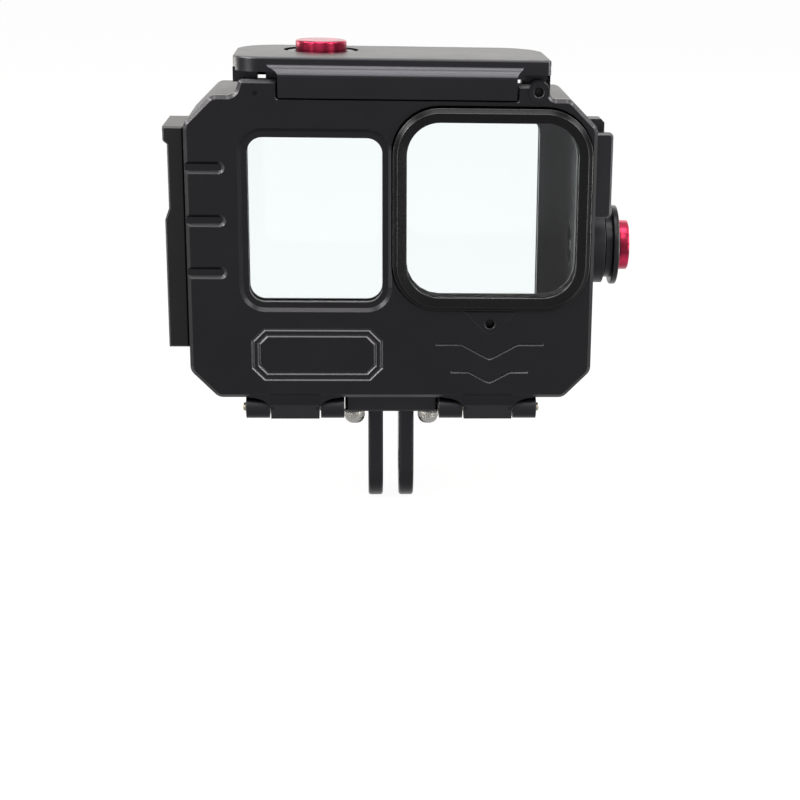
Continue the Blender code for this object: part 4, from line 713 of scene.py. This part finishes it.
def makeShell(size=shell):
    body = traced("mainShell", bodyPoints(), 'y', size["front"], size["straight"])
    slopeFace(body, 'rear', size["taper"], size["back"] - size["straight"])
    addKnuckles(body)
    y, z = lidHinge["axis"]
    radius = lidHinge["radius"]
    for start, end in size["ears"]:
        ear = arc((y, z), radius, 0, 180, 20) + [(y - radius, 76.1), (y + radius, 76.1)]
        weld(body, traced("ear", ear, 'x', start, end))
    # the fin in front of the side button, the small guard behind it and the button's round seat
    chamfer = size["chamfer"]
    (x0, x1), (z0, z1), (y0, y1) = size["fin"]
    fin = [(x0, z0), (x1 - chamfer, z0), (x1, z0 + chamfer)]
    fin += arc((x1 - 0.8, z1 - 0.8), 0.8, 0, 90, 6) + [(x0, z1)]
    weld(body, slopeFace(traced("fin", fin, 'y', y1, y0 + 0.35), 'front', 0.35, 0.35))
    (x0, x1), (z0, z1), (y0, y1) = size["guard"]
    guard = [(x0, z0), (x1, z0), (x1, z1 - chamfer), (x1 - chamfer, z1), (x0, z1)]
    weld(body, traced("guard", guard, 'y', y0, y1))
    topSeat, sideSeat = buttons["shutter"]["seat"], buttons["side"]["seat"]
    start, height, radius = size["seat"]
    weld(body, rod("seat", (start, 0, sideSeat[2]), 'x', radius, 0, height, 96))
    # the camera's room with the seal's groove round its mouth, then the rear window and the bores
    cavity, window = size["cavity"], size["window"]
    inner, outer = size["groove"]
    groove = cutOut(plug("groove", cavity, -16, -12.85, outer), plug("core", cavity, -17, -11, inner))
    cutOut(body, plug("cavity", cavity, -16, size["cavityBack"]), groove)
    cutOut(body, plug("rearOpening", window, 13, 19), plug("rearPocket", window, 15.2, 19, size["pocket"]),
           rod("stem", topSeat, 'z', size["stemRadius"], -5, 1),
           rod("stem", sideSeat, 'x', size["stemRadius"], -8, 1),
           rod("lidPin", (0, y, z), 'x', lidHinge["bore"], -31, 31, 32))
    for middle in hinge["middles"]:
        cutOut(body, rod("pin", (middle, *hinge["axis"]), 'x', hinge["bore"], -12, 12, 32))
    markPaintedHighlightAndGloss(crisp(body, 0.16, 2, 28), 'y', 0.4)
    fit(body, "housing", "shell", "main_shell")


def makeRearFrame():
    plate = plug("rearFrame", ((0, 47.25), 71.2, 52.3, 3.0), 17.75, 18.35)
    slopeFace(plate, 'rear', 0.3, 0.3)
    cutOut(plate, plug("opening", shell["window"], 17, 20))
    fit(crisp(plate, 0.1, 2, 30), "housing", "frame", "rear_window_frame")


lid = {
    "half": 30.2, "front": -17.3, "back": 10.7, "under": 81.15, "top": 83.95, "hole": 7.35,
    "leftCorner": 5.0, "rightCorner": 0.8, "backCorner": 9.0, "slopes": ((0.12, 0.28), (0.65, 0.14)),
    "bar": (-21.6, 23.8), "barFront": -17.9, "barBack": -14.4, "barBottom": 76.4,
    "shoulder": (-18.7, 80.2, 2.1), "flare": (2.2, 1.3), "barrel": (-24.5, 24.5),
    # the last steps of the bar: front, height and how far it has widened
    "barTop": ((-17.47, 82.2, 0.85), (-17.37, 82.45, 0.95), (-17.3, 82.75, 1.0), (-17.3, 83.2, 1.0)),
    "blocks": {
        "tab": ((29.2, -14.1, 77.15), (30.45, -0.4, 83.35)),
        "wall": ((24.95, -14.1, 77.15), (30.35, -12.7, 81.75)),
        "lip": ((23.6, -17.2, 80.3), (25.3, -14.45, 81.6)),
        "skirt": ((-30.2, -14.1, 78.95), (-29.2, -0.4, 81.75)),
        "corner": ((-29.7, -14.1, 78.95), (-25.6, -12.7, 81.75)),
        "stop": ((-23.95, -14.15, 77.2), (-20.5, -12.7, 81.7)),
    },
}


def barLayers(size=lid):
    # a nearly flat front, a round shoulder and a hollow up to the lid's own front, wider at its ends
    left, right = size["bar"]
    wideLeft, wideRight = size["flare"]
    front, foot, radius = size["shoulder"]

    def layer(y, z, spread):
        return left - wideLeft * spread, right + wideRight * spread, y, size["barBack"], z
    layers = [layer(size["barFront"], size["barBottom"], 0), layer(front, foot, 0)]
    for i in range(1, 9):
        turn = math.radians(7.5 * i)
        spread = max(0.0, (i - 2) / 6) ** 1.5 * 0.75
        layers.append(layer(front + radius * (1 - math.cos(turn)), foot + radius * math.sin(turn), spread))
    return layers + [layer(*step) for step in size["barTop"]]


def makeLid(size=lid):
    half, front, back, top = size["half"], size["front"], size["back"], size["top"]
    lr, rr, br = size["leftCorner"], size["rightCorner"], size["backCorner"]
    points = arc((half + 0.2 - rr, front + rr), rr, -90, 0, 6) + arc((half - br, back - br), br, 0, 90, 22)
    points += arc((br - half, back - br), br, 90, 180, 22) + arc((lr - half, front + lr), lr, 180, 270, 14)
    rise = sum(slope[1] for slope in size["slopes"])
    plate = traced("latchLid", points, 'z', size["under"], top - rise)
    for slope in size["slopes"]:
        slopeFace(plate, 'top', *slope)
    y, z = lidHinge["axis"]
    radius = lidHinge["radius"]
    barrel = arc((y, z), radius, 180, 360, 20) + [(y + radius, 81.75), (y - radius, 81.75)]
    weld(plate, stacked("bar", barLayers()), traced("barrel", barrel, 'x', *size["barrel"]),
         *[block(name, low, high) for name, (low, high) in size["blocks"].items()])
    shutterX, shutterY = buttons["shutter"]["seat"][:2]
    cutOut(plate, rod("hole", (shutterX, shutterY, top), 'z', size["hole"], -6, 1, 96),
           rod("pin", (0, y, z), 'x', lidHinge["bore"], -27, 27, 32))
    markPaintedHighlightAndGloss(crisp(plate, 0.14, 2, 28), None, 0.3)
    fit(plate, "lid", "lid", "latch_lid")


def coil(name, radius, wire, start, end, count):
    # a small disc is swept round and up, and its two ends are closed
    deselectAll()
    bpy.ops.mesh.primitive_circle_add(vertices=10, radius=wire * mm, rotation=(math.pi / 2, 0, 0),
                                      location=(radius * mm, 0, (start + wire) * mm))
    piece = newPiece(name)
    modify(piece, 'SCREW', angle=2 * math.pi * count, screw_offset=(end - start - 2 * wire) * mm,
           steps=30 * count, render_steps=30 * count, use_merge_vertices=False)
    bpy.ops.object.mode_set(mode='EDIT')
    bpy.ops.mesh.select_mode(type='EDGE')
    bpy.ops.mesh.select_all(action='DESELECT')
    bpy.ops.mesh.select_non_manifold()
    bpy.ops.mesh.fill_holes(sides=0)
    bpy.ops.mesh.select_all(action='SELECT')
    bpy.ops.mesh.normals_make_consistent(inside=False)
    doneEditing()
    bpy.ops.object.shade_smooth_by_angle(angle=math.radians(50))
    return piece


def makeButton(prefix, common=buttonSizes):
    size = buttons[prefix]
    seat, axis, stem, floor = size["seat"], size["axis"], size["stem"], size["floor"]
    base, top = size["capBase"], size["capTop"]
    cap, well, shaft, groove = common["cap"], common["well"], common["shaft"], common["ringGroove"]
    # cap: rounded rims, and faint lathe steps on its face
    rim = [(cap - 0.4, base), (cap - 0.12, base + 0.12), (cap, base + 0.4), (cap, top - 0.4),
           (cap - 0.04, top - 0.2), (cap - 0.2, top - 0.06), (cap - 0.4, top), (cap - 0.7, top),
           (cap - 0.76, top - 0.03), (cap - 0.9, top - 0.03), (cap - 0.96, top)]
    piece = turned(prefix + "Cap", rim, 128)
    cutOut(piece, rod("well", (0, 0, 0), 'z', well, base - 1, base + 0.6),
           rod("socket", (0, 0, 0), 'z', common["socket"], base - 1, top - 0.7))
    placed(crisp(piece, 0.05, 1, 35), seat, axis)
    fit(piece, prefix + "_button", prefix, prefix + "_cap")
    # bushing: flange or disc outside, then the spring well and the bore
    sleeve, bore = common["sleeve"], shaft + 0.3
    rim = [(sleeve, -stem), (sleeve, 0.3)] + size["outside"]
    rim += [(well, floor), (well, floor - 1.1), (bore, floor - 1.1), (bore, -stem)]
    piece = turned(prefix + "Bushing", rim, 128, ring=True)
    placed(crisp(piece, 0.06, 1, 35), seat, axis)
    fit(piece, "housing", "bushing", prefix + "_bushing")
    # spring, with the point where it is anchored and the share of its length left at full press worked out
    start, end = size["spring"]
    spring = coil(prefix + "Coil", common["coil"], common["wire"], start, end, common["coils"])
    fit(placed(spring, seat, axis), "housing", "steel", prefix + "_spring")
    way = Vector((0, 0, 1)) if axis == 'z' else Vector((1, 0, 0))
    anchor = (Vector(seat) + way * start) * mm
    keep = (end - start - common["travel"]) / (end - start)
    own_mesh(spring)
    # shaft with its groove for the snap ring
    steps = [(groove, -stem - 1.15), (shaft, -stem - 0.8), (shaft, -stem - 0.72), (groove, -stem - 0.72),
             (groove, -stem - 0.08), (shaft, -stem - 0.08), (shaft, top - 0.85)]
    piece = turned(prefix + "Shaft", steps, 48)
    placed(crisp(piece, 0.04, 1, 35), seat, axis)
    fit(piece, prefix + "_button", "steel", prefix + "_shaft")


rail = {
    "inner": -39.95, "outer": -43.95, "waist": -43.15, "bottom": 27.15, "top": 70.3,
    "head": 67.3, "slope": (54.55, 52.35), "start": -13.6, "end": 4.4, "edge": 0.35,
    "wells": (59.825, 37.55), "wellRadius": 1.5, "screwY": -4.6,
    "firstLine": 31.0, "lineStep": 2.6, "lines": 7,
}


def makeRail(size=rail):
    inner, outer, waist = size["inner"], size["outer"], size["waist"]
    bottom, top, head, edge = size["bottom"], size["top"], size["head"], size["edge"]
    high, low = size["slope"]
    points = [(inner, bottom), (inner, top), (outer, top), (outer, head + edge), (outer + edge, head),
              (waist, head - edge), (waist, high), (outer, low), (outer, bottom)]
    bar = traced("sideRail", points, 'y', size["start"] + edge, size["end"] - edge)
    slopeFace(bar, 'front', 0.3, edge)
    slopeFace(bar, 'rear', 0.3, edge)
    radius = size["wellRadius"]
    for z in size["wells"]:
        place = (-42.1, size["screwY"], z)
        cutOut(bar, rod("well", place, 'left', radius, 0, 4, 48),
               rod("hole", place, 'left', radius / 2, -4, 1, 32))
    # shallow grip lines across the pad, with none over the lower well
    for k in range(size["lines"]):
        z = size["firstLine"] + k * size["lineStep"]
        if abs(z - size["wells"][1]) > 2.2:
            cutOut(bar, block("line", (outer - 1, size["start"] + 2.2, z - 0.2),
                              (outer + 0.16, size["end"] - 2.2, z + 0.2)))
    markPaintedHighlightAndGloss(crisp(bar, 0.12, 2, 28), None, 0.3)
    fit(bar, "housing", "frame", "side_rail")


def smallScrew(name, radius, height, length, shank):
    # a low round head with a hexagon socket, on a plain shank
    edge = height * 0.25
    steps = [(shank, -length), (shank, -0.02), (radius - 0.05, 0), (radius, 0.05), (radius, height - edge),
             (radius - edge * 0.4, height - edge * 0.35), (radius - edge, height)]
    screw = turned(name, steps, 36)
    cutOut(screw, rod("socket", (0, 0, 0), 'z', radius * 0.5, height * 0.45, height + 1, 6))
    return crisp(screw, 0.03, 1, 35)


def makeSmallScrews():
    # four slim ones hold the retainer, eight hold the rear frame and two the side rail
    (x, z), width, height = cover["screen"][:3]
    slim = [(x + a, -12.3, z + b) for a, b in corners(width / 2 + 0.9, height / 2 + 0.9)]
    z = shell["window"][0][1]
    rear = [(a, 18.8, z + b) for a, b in corners(34.3, 24.85) + corners(10.4, 24.85)]
    side = [(-42.25, rail["screwY"], z) for z in rail["wells"]]
    # places and axis, then the radius and height of the head, the length and the radius of the shank
    groups = {
        ("retainerScrew", "screen_retainer_screw", "cover"): (slim, 'y', (0.85, 0.4, 2.3, 0.5)),
        ("rearScrew", "rear_frame_screw", "housing"): (rear, 'y', (1.2, 0.8, 2.8, 0.6)),
        ("railScrew", "side_rail_screw", "housing"): (side, 'left', (1.2, 0.8, 4.5, 0.6)),
    }
    for (name, node, body), (places, axis, size) in groups.items():
        for number, place in enumerate(places, 1):
            screw = placed(smallScrew("%s%d" % (name, number), *size), place, axis)
            fit(screw, body, "screw", "%s_%d" % (node, number))


foot = {
    "width": 18.7, "half": 13.95, "under": 14.0, "top": 17.5, "corner": 0.7, "slope": 0.4,
    "finger": (1.65, 4.65), "round": 7.5, "bore": 2.6, "edges": ((0.16, 0.30), (0.30, 0.15)),
    "fillet": 1.0, "screws": (7.45, 9.55), "headRadius": 2.1, "headHeight": 3.0, "headBase": 13.7,
    "ridges": 36, "ridgeDepth": 0.11,
    # the head's end, as steps in from its radius and height
    "dome": ((0.13, 1.42), (0.06, 1.36), (0.16, 0.9), (0.45, 0.42), (0.8, 0.13), (1.1, 0)),
}


def makeFoot(size=foot):
    under, slope, fillet = size["under"], size["slope"], size["fillet"]
    points = roundedBox((0, 0), size["width"], 2 * size["half"], size["corner"])
    plate = traced("mountFoot", points, 'z', size["top"], under + slope)
    slopeFace(plate, 'under', slope, slope)
    inner, outer = size["finger"]
    radius = size["round"]
    rise = sum(edge[1] for edge in size["edges"])
    for way in (-1, 1):
        side = arc((0, 0), radius, 180, 360, 48) + [(radius, 15.7), (-radius, 15.7)]
        finger = traced("finger", side, 'x', way * (inner + rise), way * (outer - rise))
        for facing in ('right', 'left'):
            for edge in size["edges"]:
                slopeFace(finger, facing, *edge)
        weld(plate, finger)
        # a hollow fillet carries each finger into the plate
        root = [(outer - 1.5, under - fillet), (outer, under - fillet)]
        root += arc((outer + fillet, under - fillet), fillet, 180, 90, 8)[1:]
        root += [(outer + fillet, under + 1.1), (outer - 1.5, under + 1.1)]
        weld(plate, traced("root", [(way * x, z) for x, z in root], 'y', -6.5, 6.5))
    cutOut(plate, rod("bore", (0, 0, 0), 'x', size["bore"], -9, 9, 72))
    for x, y in corners(*size["screws"]):
        cutOut(plate, rod("hole", (x, y, under), 'z', 1.5, -1, 5, 32))
    fit(crisp(plate, 0.12, 2, 28), "housing", "mount", "mount_foot")


def makeKnurledScrews(size=foot):
    # one thumb-sized head with straight knurling, a domed end and a hexagon socket, then its copies
    radius, height, count = size["headRadius"], size["headHeight"], size["ridges"]
    low = radius - size["ridgeDepth"]
    ridges = []
    for i in range(count):
        for part, r in ((0.0, radius), (0.5, radius), (0.68, low), (0.85, low)):
            a = 2 * math.pi * (i + part) / count
            ridges.append((r * math.cos(a), r * math.sin(a)))
    head = traced("footScrew", ridges, 'z', 0.35, height - 1.35)
    steps = [(1.2, -5.8), (1.2, 0), (radius - 0.35, 0), (radius - 0.05, 0.36), (radius - 0.13, 0.5)]
    weld(head, turned("ends", steps + [(radius - a, height - b) for a, b in size["dome"]], 72))
    cutOut(head, rod("socket", (0, 0, 0), 'z', 0.8, height - 1.4, height + 1, 6))
    crisp(head, 0.03, 1, 35)
    for number, (x, y) in enumerate(corners(*size["screws"]), 1):
        screw = head.copy()
        screw.data = head.data.copy()
        screw.name = screw.data.name = "footScrew%d" % number
        bpy.context.scene.collection.objects.link(screw)
        placed(screw, (x, y, size["headBase"]), 'down')
        fit(screw, "housing", "knurled", "mount_screw_%d" % number)
    bpy.data.objects.remove(head, do_unlink=True)


def makePins():
    steps = [(0.6, -9.45), (0.85, -9.2), (0.85, 10.0), (0.8, 10.2), (0.62, 10.35)]
    for name, middle, axis in zip(("left", "right"), hinge["middles"], ('left', 'x')):
        pin = crisp(turned("hingePin" + name.capitalize(), steps, 40), 0, 1, 35)
        placed(pin, (middle, *hinge["axis"]), axis)
        fit(pin, "housing", "brass", "hinge_pin_" + name)
    pin = crisp(turned("lidPin", [(0.65, -30.0), (0.9, -29.75), (0.9, 29.75), (0.65, 30.0)], 40), 0, 1, 35)
    placed(pin, (0, *lidHinge["axis"]), 'x')
    fit(pin, "housing", "screw", "lid_pin")


def dressKeptNodes():
    # plain panes, gaskets and seals keep the frame's own shape and get their finish here
    kept = {"glass": ("screen_window", "port_window", "rear_window"),
            "rubber": ("main_seal", "floor_pad", "rear_window_gasket", "screen_gasket", "port_gasket",
                       "shutter_seal", "side_seal"),
            "steel": ("shutter_clip", "side_clip")}
    for finish, names in kept.items():
        for name in names:
            for slot in nodes[name].material_slots:
                slot.material = finishes[finish]


makeCover()
makePortRing()
makeRetainer()
makeInserts()
print("cover parts made")
makeShell()
makeRearFrame()
print("shell made")
makeLid()
for prefix in buttons:
    makeButton(prefix)
print("lid and buttons made")
makeRail()
makeFoot()
makeKnurledScrews()
makeSmallScrews()
makePins()
dressKeptNodes()
print("all pieces made")


# eye in mm and turn in degrees, as solved from the photo
view = {
    "eye": (-6.4127, -398.869, 117.7762), "turn": (71.80517, -1.1544, -4.34902),
    "lens": 88.64, "shift": (-0.14375, 0.15),
}


def addCamera(size=view):
    data = bpy.data.cameras.new("photoView")
    data.sensor_width = 36
    data.lens = size["lens"]
    data.shift_x, data.shift_y = size["shift"]
    data.clip_start, data.clip_end = 0.01, 10
    camera = bpy.data.objects.new("photoView", data)
    bpy.context.scene.collection.objects.link(camera)
    camera.location = [c * mm for c in size["eye"]]
    camera.rotation_euler = [math.radians(a) for a in size["turn"]]
    bpy.context.scene.camera = camera


lamps = {
    # place and size in metres, the height aimed at, and watts
    "key": ((-0.05, -0.62, 0.78), (0.5, 0.35), 0.05, 3.4),
    "top": ((0.0, -0.16, 0.95), (0.55, 0.40), 0.05, 4.5),
    "back": ((-0.10, 0.75, 0.42), (1.6, 0.5), 0.06, 1.7),
}
lampPairs = {
    # the place of the right one, and watts left and right; the low pairs light the upright edges
    "front": ((0.64, -0.61, 0.52), (0.30, 0.30), 0.05, (6.5, 5.5)),
    "high": ((0.70, -0.11, 0.60), (0.30, 0.30), 0.05, (5.5, 3.2)),
    "low": ((0.22, -0.18, 0.031), (0.10, 0.075), 0.035, (0.30, 0.30)),
    "rim": ((0.24, 0.16, 0.031), (0.10, 0.075), 0.035, (0.30, 0.30)),
}


def addLamp(name, place, size, aim, power):
    data = bpy.data.lights.new(name, 'AREA')
    data.shape = 'RECTANGLE'
    data.size, data.size_y = size
    data.energy = power
    data.color = (1.0, 0.965, 0.90)
    lamp = bpy.data.objects.new(name, data)
    lamp.visible_camera = False
    bpy.context.scene.collection.objects.link(lamp)
    lamp.location = place
    lamp.rotation_euler = (Vector((0, 0, aim)) - Vector(place)).to_track_quat('-Z', 'Y').to_euler()


studio = {
    # the floor's level in mm, its grey, how much of it glows, and how bright the surroundings are
    "level": -7.5, "paper": 0.86, "glowShare": 0.95, "seenLight": 1.0, "givenLight": 0.55,
}


def paperFloor(size=studio):
    deselectAll()
    bpy.ops.mesh.primitive_plane_add(size=8, location=(0, 0, size["level"] * mm))
    floor = newPiece("floor")
    finish = Finish("palePaper", Metallic=0.0, Base_Color=(*[size["paper"]] * 3, 1))
    finish.feed("Roughness", (finish.noise(700.0, 3.0) * 0.1 + 0.82).limited())
    # the glow is only seen, and lights nothing
    glow = finish.node('ShaderNodeEmission', Color=(1, 1, 1, 1), Strength=finish.seenRays())
    paper = Value(finish.tree, finish.shader.outputs[0])
    mix = finish.node('ShaderNodeMixShader', n0=size["glowShare"], n1=paper, n2=glow)
    finish.tree.links.new(mix.socket, finish.tree.nodes["Material Output"].inputs["Surface"])
    floor.data.materials.append(finish.material)


def softSurroundings(size=studio):
    world = bpy.data.worlds.new("studio")
    bpy.context.scene.world = world
    world.use_nodes = True
    network = NodeTree(world.node_tree)
    background = network.tree.nodes["Background"]
    background.inputs["Color"].default_value = (1, 1, 1, 1)
    given = size["givenLight"]
    strength = network.seenRays() * (size["seenLight"] - given) + given
    network.tree.links.new(strength.socket, background.inputs["Strength"])


addCamera()
for name, values in lamps.items():
    addLamp(name, *values)
for name, ((x, y, z), size, aim, powers) in lampPairs.items():
    for side, way, power in zip(("Left", "Right"), (-1, 1), powers):
        addLamp(name + side, (way * x, y, z), size, aim, power)
paperFloor()
softSurroundings()
bpy.context.scene.view_settings.view_transform = 'Standard'
print("camera, lamps and floor set")
